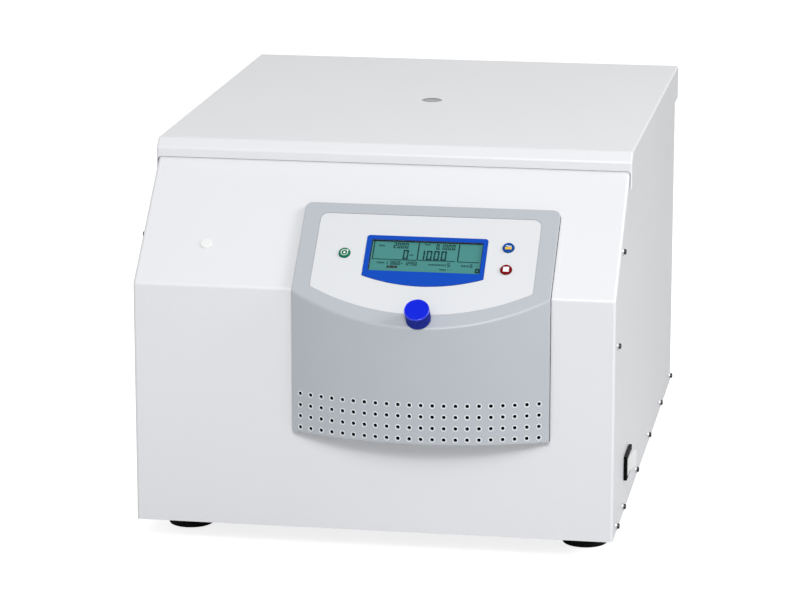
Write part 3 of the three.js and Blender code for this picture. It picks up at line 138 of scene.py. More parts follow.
def arc(radius, height, bend, start, end, steps=6):
    """Profile points round a bend, from one angle to another in degrees."""
    turns = [math.radians(start + (end - start) * i / steps) for i in range(steps + 1)]
    return [(radius + bend * math.cos(a), height + bend * math.sin(a)) for a in turns]


def modify(piece, kind, **settings):
    select_only(piece)
    modifier = piece.modifiers.new(kind.lower(), kind)
    for key, value in settings.items():
        setattr(modifier, key, value)
    bpy.ops.object.modifier_apply(modifier=modifier.name)
    return piece


def round_edges(piece, width, segments=3, angle=30):
    """Rounds every edge that is sharper than an angle in degrees."""
    settings = {"width": width * MM, "limit_method": "ANGLE", "angle_limit": math.radians(angle)}
    return modify(piece, "BEVEL", segments=segments, **settings)


def boolean(piece, cutter, operation):
    modify(piece, "BOOLEAN", object=cutter, operation=operation, solver="EXACT")
    bpy.data.objects.remove(cutter)
    return piece


def cut(piece, *cutters):
    for cutter in cutters:
        boolean(piece, cutter, "DIFFERENCE")
    return piece


def add(piece, *others):
    for other in others:
        boolean(piece, other, "UNION")
    return piece


def joined(first, *others):
    """One object of loose shapes that don't touch."""
    if others:
        select_only(first, *others)
        bpy.ops.object.join()
    return bpy.context.object if others else first


def smooth(piece, angle=32):
    select_only(piece)
    bpy.ops.object.shade_smooth_by_angle(angle=math.radians(angle))
    return modify(piece, "WEIGHTED_NORMAL", mode="FACE_AREA", weight=100, keep_sharp=True)


def shift(piece, x=0.0, y=0.0, z=0.0, turn=0.0, axis="X"):
    """Turns a piece in degrees about an axis of the drawing, and then moves it."""
    move = Matrix.Translation((x * MM, y * MM, z * MM))
    piece.data.transform(move @ Matrix.Rotation(math.radians(turn), 4, axis))
    return piece


def copy_of(piece, name, x=0.0, y=0.0, z=0.0):
    twin = piece.copy()
    twin.data = piece.data.copy()
    twin.name = name
    bpy.context.scene.collection.objects.link(twin)
    return shift(twin, x, y, z)


def clear_selection(piece):
    select_only(piece)
    for part in (piece.data.vertices, piece.data.edges, piece.data.polygons):
        part.foreach_set("select", [False] * len(part))


def select_faces(piece, test):
    """Opens a piece with the faces selected whose middle and normal pass a test."""
    clear_selection(piece)
    for face in piece.data.polygons:
        face.select = test(face.center / MM, face.normal)
    bpy.ops.object.mode_set(mode="EDIT")
    bpy.ops.mesh.select_mode(type="FACE")


def leave_edit():
    bpy.ops.object.mode_set(mode="OBJECT")


def delete_faces(piece, test):
    select_faces(piece, test)
    bpy.ops.mesh.delete(type="FACE")
    leave_edit()
    return piece


def bevel_edges(piece, width, segments, test):
    """Rounds the edges whose two ends pass a test."""
    clear_selection(piece)
    points = piece.data.vertices
    bpy.ops.object.mode_set(mode="EDIT")
    bpy.ops.mesh.select_mode(type="EDGE")
    bpy.ops.object.mode_set(mode="OBJECT")
    for edge in piece.data.edges:
        edge.select = test(*(points[i].co / MM for i in edge.vertices))
    bpy.ops.object.mode_set(mode="EDIT")
    bpy.ops.mesh.bevel(offset=width * MM, segments=segments, affect="EDGES")
    leave_edit()
    return piece


def plate(name, x, y, z, corner, axis="z", steps=8, edge=0.0, edge_steps=3):
    """A slab whose four corners along an axis are rounded and, if asked, its other edges softened."""
    slab = block(name, x, y, z)
    low, high = {"x": x, "y": y, "z": z}[axis]
    bevel_edges(slab, corner, steps, lambda a, b: abs(getattr(a - b, axis)) > (high - low) / 2)
    return round_edges(slab, edge, segments=edge_steps, angle=50) if edge else slab


def slice_off(piece, point, direction):
    """Cuts a piece at a plane and closes it, keeping the side that the direction points away from."""
    select_only(piece)
    bpy.ops.object.mode_set(mode="EDIT")
    bpy.ops.mesh.select_all(action="SELECT")
    bpy.ops.mesh.bisect(plane_co=Vector(point) * MM, plane_no=direction, use_fill=True, clear_outer=True)
    leave_edit()
    return piece


def to_slope(piece):
    """Takes a piece from the panel's own drawing to the casing's."""
    piece.rotation_euler = (PANEL_TILT, 0, 0)
    piece.location = CREASE * MM
    return bake_place(piece)


def place(piece, onto="casing"):
    """Takes a piece from the drawing, or from the panel's own drawing, to where it is on the object."""
    if onto == "panel":
        piece.rotation_euler = (PANEL_TILT, 0, 0)
        piece.location = (CREASE + ORIGIN) * MM
    else:
        piece.location = ORIGIN * MM
    return bake_place(piece)


def finish(piece, look, slot, body, *nodes):
    """Gives a placed piece its finish and its body, and hides the solids that it stands for; the slot
    argument is not used.
    """
    piece.data.materials.clear()
    piece.data.materials.append(FINISHES[look])
    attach(piece, body)
    if nodes:
        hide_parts(*nodes)
    return piece


def dress(piece, look, slot, body, *nodes, onto="casing", angle=32):
    """Places, smooths and finishes a drawn piece."""
    return finish(smooth(place(piece, onto), angle), look, slot, body, *nodes)


# Camera and light

CAMERA = Sizes(place=(593.5, -3348.0, 1075.0), pitch=76.38, turn=9.48, lens=152.52, film=36, reach=60)
# Each light: place and target in metres, width, height as a share of the width, power
LIGHTS = {
    "key_light": ((0.25, -2.85, 2.0), (0, 0, 0.25), 1.3, 1.0, 36),
    "crease_light": ((0.5, -3.0, 1.95), (0, 0, 0.3), 0.8, 0.55, 20.5),
    "side_light": ((3.1, -0.3, 2.2), (0, 0, 0.4), 1.4, 1.0, 61),
}
AMBIENT = 0.37
FLOOR = Sizes(size=60, sink=0.0002, tone=0.64, lift=0.81, roughness=0.9, gloss=0.1)


def set_camera():
    data = bpy.data.cameras.new("camera")
    data.sensor_fit = "HORIZONTAL"
    data.sensor_width = CAMERA.film
    data.lens = CAMERA.lens
    data.clip_end = CAMERA.reach
    camera = bpy.data.objects.new("camera", data)
    bpy.context.scene.collection.objects.link(camera)
    camera.location = (Vector(CAMERA.place) + ORIGIN) * MM
    camera.rotation_euler = (math.radians(CAMERA.pitch), 0, math.radians(CAMERA.turn))
    bpy.context.scene.camera = camera


def math_node(nodes, links, operation, first, second):
    node = nodes.new("ShaderNodeMath")
    node.operation = operation
    for socket, value in zip(node.inputs, (first, second)):
        if isinstance(value, (int, float)):
            socket.default_value = value
        else:
            links.new(value, socket)
    return node.outputs[0]


def set_lights():
    for name, (spot, target, width, height_share, power) in LIGHTS.items():
        data = bpy.data.lights.new(name, "AREA")
        data.shape = "RECTANGLE"
        data.size = width
        data.size_y = width * height_share
        data.energy = power
        light = bpy.data.objects.new(name, data)
        bpy.context.scene.collection.objects.link(light)
        light.location = spot
        light.rotation_euler = (Vector(target) - Vector(spot)).to_track_quat("-Z", "Y").to_euler()


def set_world():
    """White where the camera, a reflection or glass looks at it, and a soft light on the object."""
    world = bpy.data.worlds.new("studio")
    bpy.context.scene.world = world
    world.use_nodes = True
    nodes, links = world.node_tree.nodes, world.node_tree.links
    nodes.clear()
    mix = nodes.new("ShaderNodeMixShader")
    for socket, strength in ((1, AMBIENT), (2, 1.0)):
        background = nodes.new("ShaderNodeBackground")
        background.inputs["Color"].default_value = (1, 1, 1, 1)
        background.inputs["Strength"].default_value = strength
        links.new(background.outputs[0], mix.inputs[socket])
    rays = nodes.new("ShaderNodeLightPath").outputs
    direct = math_node(nodes, links, "MAXIMUM", rays["Is Camera Ray"], rays["Is Glossy Ray"])
    seen = math_node(nodes, links, "MAXIMUM", direct, rays["Is Transmission Ray"])
    links.new(seen, mix.inputs["Fac"])
    links.new(mix.outputs[0], nodes.new("ShaderNodeOutputWorld").inputs["Surface"])


def new_material(name):
    material = bpy.data.materials.new(name)
    material.use_nodes = True
    tree = material.node_tree
    return material, tree.nodes, tree.links, tree.nodes["Principled BSDF"]


def set_floor():
    bpy.ops.object.select_all(action="DESELECT")
    bpy.ops.mesh.primitive_plane_add(size=FLOOR.size, location=(0, 0, -FLOOR.sink))
    floor = named("studio_floor")
    material, nodes, links, shader = new_material("studio_floor")
    shader.inputs["Base Color"].default_value = (FLOOR.tone, FLOOR.tone, FLOOR.tone, 1)
    shader.inputs["Roughness"].default_value = FLOOR.roughness
    shader.inputs["Specular IOR Level"].default_value = FLOOR.gloss
    shader.inputs["Emission Color"].default_value = (1, 1, 1, 1)
    rays = nodes.new("ShaderNodeLightPath").outputs
    lift = math_node(nodes, links, "MULTIPLY", rays["Is Camera Ray"], FLOOR.lift)
    links.new(lift, shader.inputs["Emission Strength"])
    floor.data.materials.append(material)


# Effects that several finishes share


def new_effect(name, inputs):
    """A node group that puts out a colour, a roughness and a height, and what its nodes need."""
    group = bpy.data.node_groups.new(name, "ShaderNodeTree")
    for label, kind, value in inputs:
        socket = group.interface.new_socket(name=label, in_out="INPUT", socket_type="NodeSocket" + kind)
        socket.default_value = value
    for label, kind in (("Colour", "Color"), ("Roughness", "Float"), ("Height", "Float")):
        group.interface.new_socket(name=label, in_out="OUTPUT", socket_type="NodeSocket" + kind)
    nodes = group.nodes
    enter = nodes.new("NodeGroupInput").outputs
    leave = nodes.new("NodeGroupOutput").inputs
    where = nodes.new("ShaderNodeTexCoord").outputs["Object"]
    return group, nodes, group.links, enter, leave, where


def noise(nodes, links, vector, scale, detail):
    texture = nodes.new("ShaderNodeTexNoise")
    texture.inputs["Scale"].default_value = scale
    texture.inputs["Detail"].default_value = detail
    links.new(vector, texture.inputs["Vector"])
    return texture


def shaded(nodes, links, colour, tone):
    """A colour made lighter or darker by a factor."""
    shade = nodes.new("ShaderNodeVectorMath")
    shade.operation = "SCALE"
    links.new(colour, shade.inputs[0])
    links.new(tone, shade.inputs["Scale"])
    return shade.outputs["Vector"]


def build_surface_effect():
    """Grain for a painted or moulded surface: a height, a drift of tone and a drift of gloss."""
    group, nodes, links, enter, leave, where = new_effect("surface_grain", (
        ("Colour", "Color", (0.8, 0.8, 0.8, 1)), ("Grain Scale", "Float", 900.0), ("Tone", "Float", 0.03),
        ("Roughness", "Float", 0.45),
    ))
    fine = noise(nodes, links, where, 1, 3)
    coarse = noise(nodes, links, where, 7, 4)
    links.new(enter["Grain Scale"], fine.inputs["Scale"])
    drift = math_node(nodes, links, "SUBTRACT", coarse.outputs["Fac"], 0.5)
    speck = math_node(nodes, links, "SUBTRACT", fine.outputs["Fac"], 0.5)
    both = math_node(nodes, links, "ADD", drift, math_node(nodes, links, "MULTIPLY", speck, 0.6))
    tone = math_node(nodes, links, "ADD", 1.0, math_node(nodes, links, "MULTIPLY", both, enter["Tone"]))
    gloss_drift = math_node(nodes, links, "MULTIPLY", drift, 0.12)
    links.new(shaded(nodes, links, enter["Colour"], tone), leave["Colour"])
    links.new(math_node(nodes, links, "ADD", enter["Roughness"], gloss_drift), leave["Roughness"])
    links.new(fine.outputs["Fac"], leave["Height"])
    return group


def build_brushed_effect():
    """Fine lines of brushed metal, stretched along one direction."""
    group, nodes, links, enter, leave, where = new_effect("brushed_lines", (
        ("Colour", "Color", (0.7, 0.7, 0.7, 1)), ("Stretch", "Vector", (1, 1, 40)),
        ("Roughness", "Float", 0.3),
    ))
    stretch = nodes.new("ShaderNodeVectorMath")
    stretch.operation = "MULTIPLY"
    links.new(where, stretch.inputs[0])
    links.new(enter["Stretch"], stretch.inputs[1])
    lines = noise(nodes, links, stretch.outputs["Vector"], 60, 5)
    wide = noise(nodes, links, where, 9, 2)
    streak = math_node(nodes, links, "SUBTRACT", lines.outputs["Fac"], 0.5)
    drift = math_node(nodes, links, "SUBTRACT", wide.outputs["Fac"], 0.5)
    tone = math_node(nodes, links, "ADD", 1.0, math_node(nodes, links, "MULTIPLY", streak, 0.16))
    fine_gloss = math_node(nodes, links, "MULTIPLY", streak, 0.22)
    wide_gloss = math_node(nodes, links, "MULTIPLY", drift, 0.1)
    gloss = math_node(nodes, links, "ADD", fine_gloss, wide_gloss)
    links.new(shaded(nodes, links, enter["Colour"], tone), leave["Colour"])
    links.new(math_node(nodes, links, "ADD", enter["Roughness"], gloss), leave["Roughness"])
    links.new(lines.outputs["Fac"], leave["Height"])
    return group


# Finishes

# Colour 0 to 255, roughness, scale of the grain, drift of tone, bump, gloss
PLAIN_FINISHES = {
    "casing_powder_coat": ((229, 230, 233), 0.33, 1500, 0.025, 0.10, 0.5),
    "deck_white": ((226, 228, 229), 0.38, 1500, 0.02, 0.08, 0.5),
    "guard_primer": ((120, 124, 130), 0.55, 700, 0.08, 0.12, 0.5),
    "fascia_plastic": ((182, 187, 193), 0.34, 1900, 0.03, 0.12, 0.4),
    # The vent rims' near-white colour is a painted highlight on the rounded hole edges
    "vent_edge": ((234, 238, 242), 0.4, 1900, 0.02, 0.04, 0.4),
    "filter_foam": ((8, 8, 9), 0.9, 500, 0.4, 0.4, 0.05),
    "panel_film": ((220, 222, 225), 0.42, 2600, 0.015, 0.04, 0.3),
    "display_blue": ((7, 72, 182), 0.35, 2600, 0.02, 0.02, 0.14),
    "display_pane": ((72, 136, 132), 0.3, 700, 0.05, 0.01, 0.15),
    "display_ink": ((20, 52, 54), 0.4, 700, 0.05, 0.01, 0.1),
    # A darker green than the pane: the figures' painted shadow on the pane
    "display_shade": ((59, 115, 112), 0.4, 700, 0.05, 0.01, 0.1),
    "display_mark": ((46, 50, 50), 0.4, 700, 0.05, 0.01, 0.1),
    "key_green": ((6, 112, 80), 0.35, 2400, 0.03, 0.03, 0.05),
    "key_red": ((124, 8, 20), 0.35, 2400, 0.03, 0.03, 0.05),
    "key_blue": ((16, 74, 150), 0.35, 2400, 0.03, 0.03, 0.05),
    "symbol_white": ((244, 245, 245), 0.45, 2400, 0.02, 0.03, 0.3),
    "symbol_yellow": ((232, 184, 54), 0.45, 2400, 0.02, 0.03, 0.3),
    "knob_blue": ((10, 34, 212), 0.42, 2000, 0.04, 0.08, 0.12),
    # The knob rim is glossier than the cap, and its lighter blue is a painted highlight
    "knob_shine": ((24, 52, 232), 0.2, 2000, 0.04, 0.04, 0.7),
    # The fluted side's darker blue is painted shade on the knob's side, away from the light
    "knob_grip": ((10, 36, 158), 0.4, 2000, 0.1, 0.1, 0.2),
    "white_plastic": ((236, 237, 237), 0.36, 1600, 0.02, 0.06, 0.5),
    "black_plastic": ((20, 20, 22), 0.45, 1600, 0.12, 0.12, 0.2),
    "switch_black": ((9, 9, 10), 0.5, 1600, 0.12, 0.08, 0.05),
    "black_rubber": ((15, 15, 16), 0.75, 1100, 0.2, 0.25, 0.15),
    "black_screw": ((14, 14, 15), 0.16, 1500, 0.1, 0.02, 0.6),
    "spring_black": ((18, 18, 20), 0.32, 1200, 0.1, 0.05, 0.5),
    "circuit_green": ((38, 100, 58), 0.4, 500, 0.2, 0.05, 0.5),
    "view_glass": ((104, 108, 108), 0.16, 300, 0.05, 0.0, 0.35),
}
# Colour 0 to 255, roughness, scale of the grain, drift of tone, bump
METAL_FINISHES = {
    "turned_steel": ((205, 207, 209), 0.24, 1500, 0.04, 0.03),
    "cast_alloy": ((172, 176, 181), 0.42, 900, 0.06, 0.1),
    "bowl_steel": ((196, 198, 201), 0.33, 900, 0.04, 0.03),
    "rotor_alloy": ((186, 189, 193), 0.36, 1100, 0.06, 0.08),
    "bucket_alloy": ((158, 162, 167), 0.34, 1300, 0.05, 0.05),
    "rod_chrome": ((214, 216, 218), 0.16, 1800, 0.02, 0.01),
}
# Colour 0 to 255, roughness, stretch of the lines along x, y and z
BRUSHED_FINISHES = {
    "sheet_steel": ((198, 200, 202), 0.34, (1, 40, 40)),
    "screw_steel": ((222, 223, 225), 0.2, (30, 30, 2)),
}
BRUSHED_BUMP = 0.04
BUMP_HEIGHT = 0.0002
# The solids' slots whose finish has another name than the slot
SLOT_FINISHES = {
    "casing_paint": "casing_powder_coat", "fascia_moulding": "fascia_plastic", "view_window": "view_glass",
    "surround_blue": "display_blue", "bright_steel": "sheet_steel", "guard_steel": "guard_primer",
}


def linear(*srgb):
    """A colour read off a colour card, 0 to 255, as the shader wants it."""
    values = [c / 255 for c in srgb]
    return tuple(c / 12.92 if c <= 0.04045 else ((c + 0.055) / 1.055) ** 2.4 for c in values) + (1.0,)


def new_finish(name, effect, colour, roughness, settings, bump, gloss=0.5, metallic=0.0):
    """A finish whose colour, roughness and relief come from a shared effect."""
    material, nodes, links, shader = new_material(name)
    surface = nodes.new("ShaderNodeGroup")
    surface.node_tree = effect
    surface.inputs["Colour"].default_value = linear(*colour)
    surface.inputs["Roughness"].default_value = roughness
    for label, value in settings.items():
        surface.inputs[label].default_value = value
    links.new(surface.outputs["Colour"], shader.inputs["Base Color"])
    links.new(surface.outputs["Roughness"], shader.inputs["Roughness"])
    shader.inputs["Metallic"].default_value = metallic
    shader.inputs["Specular IOR Level"].default_value = gloss
    if bump:
        relief = nodes.new("ShaderNodeBump")
        relief.inputs["Strength"].default_value = bump
        relief.inputs["Distance"].default_value = BUMP_HEIGHT
        links.new(surface.outputs["Height"], relief.inputs["Height"])
        links.new(relief.outputs["Normal"], shader.inputs["Normal"])
    return material


def make_finishes():
    grain_effect, line_effect = build_surface_effect(), build_brushed_effect()
    finishes = {}
    for name, (colour, roughness, grain, tone, bump, gloss) in PLAIN_FINISHES.items():
        settings = {"Grain Scale": grain, "Tone": tone}
        finishes[name] = new_finish(name, grain_effect, colour, roughness, settings, bump, gloss)
    for name, (colour, roughness, grain, tone, bump) in METAL_FINISHES.items():
        settings = {"Grain Scale": grain, "Tone": tone}
        finishes[name] = new_finish(name, grain_effect, colour, roughness, settings, bump, metallic=1.0)
    for name, (colour, roughness, stretch) in BRUSHED_FINISHES.items():
        settings = {"Stretch": stretch}
        bump = BRUSHED_BUMP
        finishes[name] = new_finish(name, line_effect, colour, roughness, settings, bump, metallic=1.0)
    return finishes


FINISHES = make_finishes()


def finish_nodes():
    """Every solid has the finish of its slot, also where a modelled piece stands for it."""
    for part in frame["record"]["subparts"]:
        slot = part["material_slot"]
        for holder in frame["nodes"][part["node"]].material_slots:
            holder.material = FINISHES[SLOT_FINISHES.get(slot, slot)]


# The casing

SLOPE_OUT = Vector((0, -math.sin(PANEL_TILT), math.cos(PANEL_TILT)))
SLOPE_UP = Vector((0, math.cos(PANEL_TILT), math.sin(PANEL_TILT)))
# Places on the sloping panel, across and up from its lower edge
KEY_PLACES = {"start_key": (-33.3, 43.4), "lid_key": (135.1, 57.1), "stop_key": (135.5, 29.7)}
KEY_HOLE = 6.3
KNOB_PLACE = (53.4, -36)
PLUG_PLACE = (-181, 52.8)
SWITCH_Y = (104, 150)
SWITCH_Z = (38, 60)
LID = Sizes(half_width=252.2, front=121, back=662, bottom=344.8, top=382.6, nose=373.2, brow=132)


def grown(pair, by):
    return (pair[0] - by, pair[1] + by)


def runs_across(a, b):
    """Whether an edge runs from side to side of the casing."""
    return abs(a.x - b.x) > 400


def in_side_face(a, b, half_width):
    return abs(abs(a.x) - half_width) < NEAR and abs(a.x - b.x) < NEAR


def casing_body(name, inset=0.0, back=DEPTH, bottom=0.0):
    """The casing as one solid, cut off at the slope, smaller or larger by an inset."""
    body = block(name, span(0, HALF_WIDTH - inset), (inset, back), (bottom, DECK_HEIGHT - inset))
    return slice_off(body, CREASE - SLOPE_OUT * inset, SLOPE_OUT)


def casing_space(name="casing_space", grow=CLEARANCE):
    """The room that the casing takes up, which also reaches past its back and bottom."""
    return casing_body(name, -grow, back=700, bottom=-40)


def build_hood():
    hood = casing_body("hood_skin")
    delete_faces(hood, lambda middle, out: out.z < -0.9 or out.y > 0.9)
    bevel_edges(hood, 2.4, 6, lambda a, b: runs_across(a, b) and 1 < max(a.z, b.z) and max(a.y, b.y) < 600)
    bevel_edges(hood, 3, 5, lambda a, b: (
        in_side_face(a, b, HALF_WIDTH) and max(a.z, b.z) >= NEAR and min(a.y, b.y) <= DEPTH - 0.1
    ))
    modify(hood, "SOLIDIFY", thickness=SHEET * MM, offset=-1)
    mouth = plate("mouth", span(0, 234), (140, 632), (355, 380), 18, steps=10)
    opening = (-72, 174)
    upper = to_slope(block("upper_hole", opening, (-OVERRUN, 98), span(0, OVERRUN)))
    lower = block("lower_hole", opening, span(0, OVERRUN), (118, 254))
    plug_hole = to_slope(drum("plug_hole", 5.1, -OVERRUN, OVERRUN, *PLUG_PLACE, 32))
    switch_hole = block("switch_hole", (244, 256), grown(SWITCH_Y, CLEARANCE), grown(SWITCH_Z, CLEARANCE))
    cut(hood, mouth, upper, lower, plug_hole, switch_hole)
    dress(hood, "casing_powder_coat", "casing_paint", "casing", "casing_hood")


def build_lid():
    lid = block("lid_skin", span(0, LID.half_width), (LID.front, LID.back), (LID.bottom, LID.top))
    tilt = math.atan2(LID.top - LID.nose, LID.brow - LID.front)
    slice_off(lid, (0, LID.front, LID.nose), Vector((0, -math.sin(tilt), math.cos(tilt))))
    delete_faces(lid, lambda middle, out: out.z < -0.9)
    bevel_edges(lid, 1.9, 6, lambda a, b: runs_across(a, b) and max(a.y, b.y) < 200 and max(a.z, b.z) > 350)
    bevel_edges(lid, 3, 5, lambda a, b: runs_across(a, b) and min(a.y, b.y) > 600 and max(a.z, b.z) > 350)
    bevel_edges(lid, 2.2, 5, lambda a, b: (
        in_side_face(a, b, LID.half_width) and max(a.z, b.z) >= LID.bottom + 0.1
    ))
    modify(lid, "SOLIDIFY", thickness=SHEET * MM, offset=-1)
    lip = block("lip_cut", span(0, LID.half_width - SHEET), (110, 128.5), (330, 363.6))
    bevel_edges(lip, 4, 8, lambda a, b: abs(a.y - b.y) > 10 and max(a.z, b.z) > 350)
    cut(lid, lip, drum("port_hole", 11.5, 370, 390, 0, ROTOR_Y))
    dress(lid, "casing_powder_coat", "casing_paint", "lid", "lid_shell")


# The control panel

# The bulge is part of a large upright drum that reaches 39 mm out of the casing's front
BULGE_RADIUS = 305.24
BULGE_X = 51.0
BULGE_Y = BULGE_RADIUS - 39.0
MOULDING_HEIGHT = 6
MOULDING_WALL = 2.5
# Depth of the dark strip round the moulding, partly a seal and partly painted shade for the shadow gap
SEAL_SHADOW_GAP_DEPTH = 1.5
VENTS = Sizes(radius=2.0, columns=22, across=(-72.4, 174.5), rows=4, up=(111.8, 147.4))
# Cutters on the panel reach from under the sheet to above the moulding
THROUGH = (-OVERRUN, 2 * OVERRUN)
ABOVE = (0, 2 * OVERRUN)
DISPLAY_OPENING = ((-6.8, 109), (23, 62.2))
# Left, right, top, bottom in the middle, bottom at the sides, corner
FILM_SHAPE = (-64, 166, 93.6, -29.7, 1.0, 8)
SURROUND_SHAPE = (-12, 113.5, 67.2, 5.2, 16.5, 3)


def rounded_slab(name, x, up, out, corner):
    """A slab of the panel's drawing whose two upper corners are rounded."""
    half_thick = abs(out[1] - out[0]) / 2
    return bevel_edges(block(name, x, up, out), corner, 8, lambda a, b: (
        abs(a.z - b.z) > half_thick and max(a.y, b.y) > up[1] - 1
    ))


def saggy_plate(name, shape, low, high, grow=0.0):
    """A plate with a straight top and sides and a bottom that sags in an arc."""
    left, right, top, middle, side, corner = shape
    half = (right - left) / 2
    sag = side - middle
    radius = (half * half + sag * sag) / (2 * sag)
    sides = grown((left, right), grow)
    slab = rounded_slab(name, sides, (middle - 20, top + grow), (low, high), corner + grow)
    round_bottom = drum("arc", radius + grow, low - 1, high + 1, (left + right) / 2, middle + radius, 512)
    boolean(slab, round_bottom, "INTERSECT")
    return bevel_edges(slab, corner * 0.3, 6, lambda a, b: (
        abs(a.z - b.z) > 0.1 and min(abs(a.x - x) for x in sides) < 0.05 and a.y < side + 2
    ))


def fascia_body(name, inset):
    """The moulding as one solid: a slab on the slope, inside the round of the bulge."""
    bulge = drum(name, BULGE_RADIUS - inset, 105.9 + inset, 450, BULGE_X, BULGE_Y, 512)
    across = (-82 + inset, 184 - inset)
    slab = rounded_slab("slab", across, (-230, 107 - inset), (-230, MOULDING_HEIGHT - inset), 7.5 - inset)
    return boolean(bulge, to_slope(slab), "INTERSECT")


def on_fascia_crease(point):
    """Whether a point lies where the sloping face of the moulding meets its bulge."""
    out = (point - CREASE).dot(SLOPE_OUT)
    reach = math.hypot(point.x - BULGE_X, point.y - BULGE_Y)
    return abs(out - MOULDING_HEIGHT) < 0.02 and abs(reach - BULGE_RADIUS) < 0.05


def bulge_skin(x):
    return BULGE_Y - math.sqrt(BULGE_RADIUS**2 - (x - BULGE_X) ** 2)


def even_steps(ends, count):
    return [ends[0] + (ends[1] - ends[0]) * i / (count - 1) for i in range(count)]


def vent_places():
    rows = even_steps(VENTS.up, VENTS.rows)
    return [(x, z) for x in even_steps(VENTS.across, VENTS.columns) for z in rows]


def build_fascia():
    fascia = fascia_body("fascia_moulding", 0)
    bevel_edges(fascia, 2.2, 5, lambda a, b: on_fascia_crease(a) and on_fascia_crease(b))
    round_edges(fascia, 0.9, segments=4, angle=25)
    cut(fascia, fascia_body("fascia_room", MOULDING_WALL))
    cut(fascia, casing_space())
    pocket = saggy_plate("pocket", FILM_SHAPE, 4.9, THROUGH[1], grow=CLEARANCE)
    window = to_slope(block("window", *DISPLAY_OPENING, THROUGH))
    cut(fascia, to_slope(pocket), window)
    holes = [(x, up, KEY_HOLE) for x, up in KEY_PLACES.values()] + [(*KNOB_PLACE, 4.9)]
    for x, up, radius in holes:
        cut(fascia, to_slope(drum("hole", radius, *THROUGH, x, up, 48)))
    vent = shift(drum("vents", VENTS.radius, 0, 60, sides=20), turn=90)
    vents = [copy_of(vent, "vent", x, -0.3, z) for x, z in vent_places()]
    bpy.data.objects.remove(vent)
    cut(fascia, joined(*vents))
    dress(fascia, "fascia_plastic", "fascia_moulding", "casing", "control_fascia")


def build_vent_rims_painted_highlight():
    """Rims round the vents, each leaning with the bulge; their near-white colour is a painted highlight on
    the rounded hole edges.
    """
    profile = [(3.0, -0.1), (2.95, 0.12), (2.5, 0.25), (2.1, 0.12), (2.0, -0.3), (3.0, -0.1)]
    edge = turned("vent_edges", profile, 20, ring=True)
    rims = []
    for x, z in vent_places():
        rim = copy_of(edge, "vent_edge")
        rim.rotation_euler = (math.radians(90), 0, math.asin((x - BULGE_X) / BULGE_RADIUS))
        rim.location = Vector((x, bulge_skin(x), z)) * MM
        rims.append(bake_place(rim))
    bpy.data.objects.remove(edge)
    rims = joined(*rims)
    rims.name = "vent_edges"
    dress(rims, "vent_edge", "fascia_moulding", "casing")


def build_vent_filter():
    mat = fascia_body("vent_filter", 2.8)
    boolean(mat, block("filter_height", (-90, 190), (-60, -1.2), (109, 152)), "INTERSECT")
    cut(mat, fascia_body("filter_room", 4.2))
    dress(mat, "filter_foam", "black_rubber", "casing")


def build_fascia_seal_and_shadow_gap():
    # A dark rubber strip round the foot of the moulding: partly a seal, partly painted shade standing in for
    # the shadow gap between moulding and casing
    seal_shadow_gap = boolean(fascia_body("fascia_seal", -0.35), casing_space("seal_layer", SEAL_SHADOW_GAP_DEPTH), "INTERSECT")
    cut(seal_shadow_gap, casing_space(), fascia_body("seal_room", 0.3))
    dress(seal_shadow_gap, "black_rubber", "black_rubber", "casing")


def build_film():
    film = saggy_plate("panel_film", FILM_SHAPE, 5.2, 5.7)
    cut(film, saggy_plate("opening", SURROUND_SHAPE, *ABOVE, grow=CLEARANCE))
    for x, up in KEY_PLACES.values():
        cut(film, drum("hole", KEY_HOLE, *ABOVE, x, up, 48))
    cut(film, drum("hole", 13.3, *ABOVE, *KNOB_PLACE))
    round_edges(film, 0.12, segments=2, angle=50)
    dress(film, "panel_film", "panel_film", "casing", "membrane_panel", onto="panel")


def build_surround():
    surround = saggy_plate("display_surround", SURROUND_SHAPE, 5.2, 6.1)
    cut(surround, block("window", *DISPLAY_OPENING, ABOVE))
    round_edges(surround, 0.2, segments=2, angle=50)
    dress(surround, "display_blue", "surround_blue", "casing", "display_surround", onto="panel")


KEY_COLOURS = {"start_key": "key_green", "lid_key": "key_blue", "stop_key": "key_red"}
# The symbols stand a little proud of the keys
SYMBOL = (6.95, 7.2)


def build_keys():
    profile = [(2, 1), (2, 4.8), (6, 4.8), (6, 6.4)] + arc(5.2, 6.4, 0.8, 0, 90, 4) + [(4.6, 7.05)]
    for name, spot in KEY_PLACES.items():
        cap = shift(turned(name + "_cap", profile, 48), *spot)
        dress(cap, KEY_COLOURS[name], KEY_COLOURS[name], name, name, onto="panel")
    low, high = SYMBOL
    profile = [(3.8, low), (3.8, high), (3.15, high), (3.15, low), (3.8, low)]
    ring = turned("start_ring", profile, 48, ring=True)
    point = drum("start_point", 1.25, low, 7.18, 3.0, 2.5, 4)
    spot = drum("start_spot", 1.2, low, high, sides=24)
    start = joined(ring, point, spot)
    stop = rounded_slab("stop_square", span(0, 3.0), span(0, 3.0), SYMBOL, 0.3)
    lid_box = block("lid_symbol", span(0, 3.4), (-2.5, 0.3), SYMBOL)
    lid_flap = shift(block("lid_symbol_flap", span(0, 2.9), (1.1, 2.1), SYMBOL), turn=-9, axis="Z")
    marks = (
        (start, "symbol_white", "start_key"), (stop, "symbol_white", "stop_key"),
        (lid_box, "symbol_yellow", "lid_key"), (lid_flap, "symbol_white", "lid_key"),
    )
    for mark, look, key in marks:
        round_edges(shift(mark, *KEY_PLACES[key]), 0.08, segments=2)
        dress(mark, look, "white_plastic", key, onto="panel")


KNOB_SIDES = 96
FLUTE_TURN = 3.75


def on_flute(middle, out):
    """Every second face round the knob."""
    return abs(out.z) < 0.1 and int(math.degrees(math.atan2(out.y, out.x)) // FLUTE_TURN) % 2 == 0


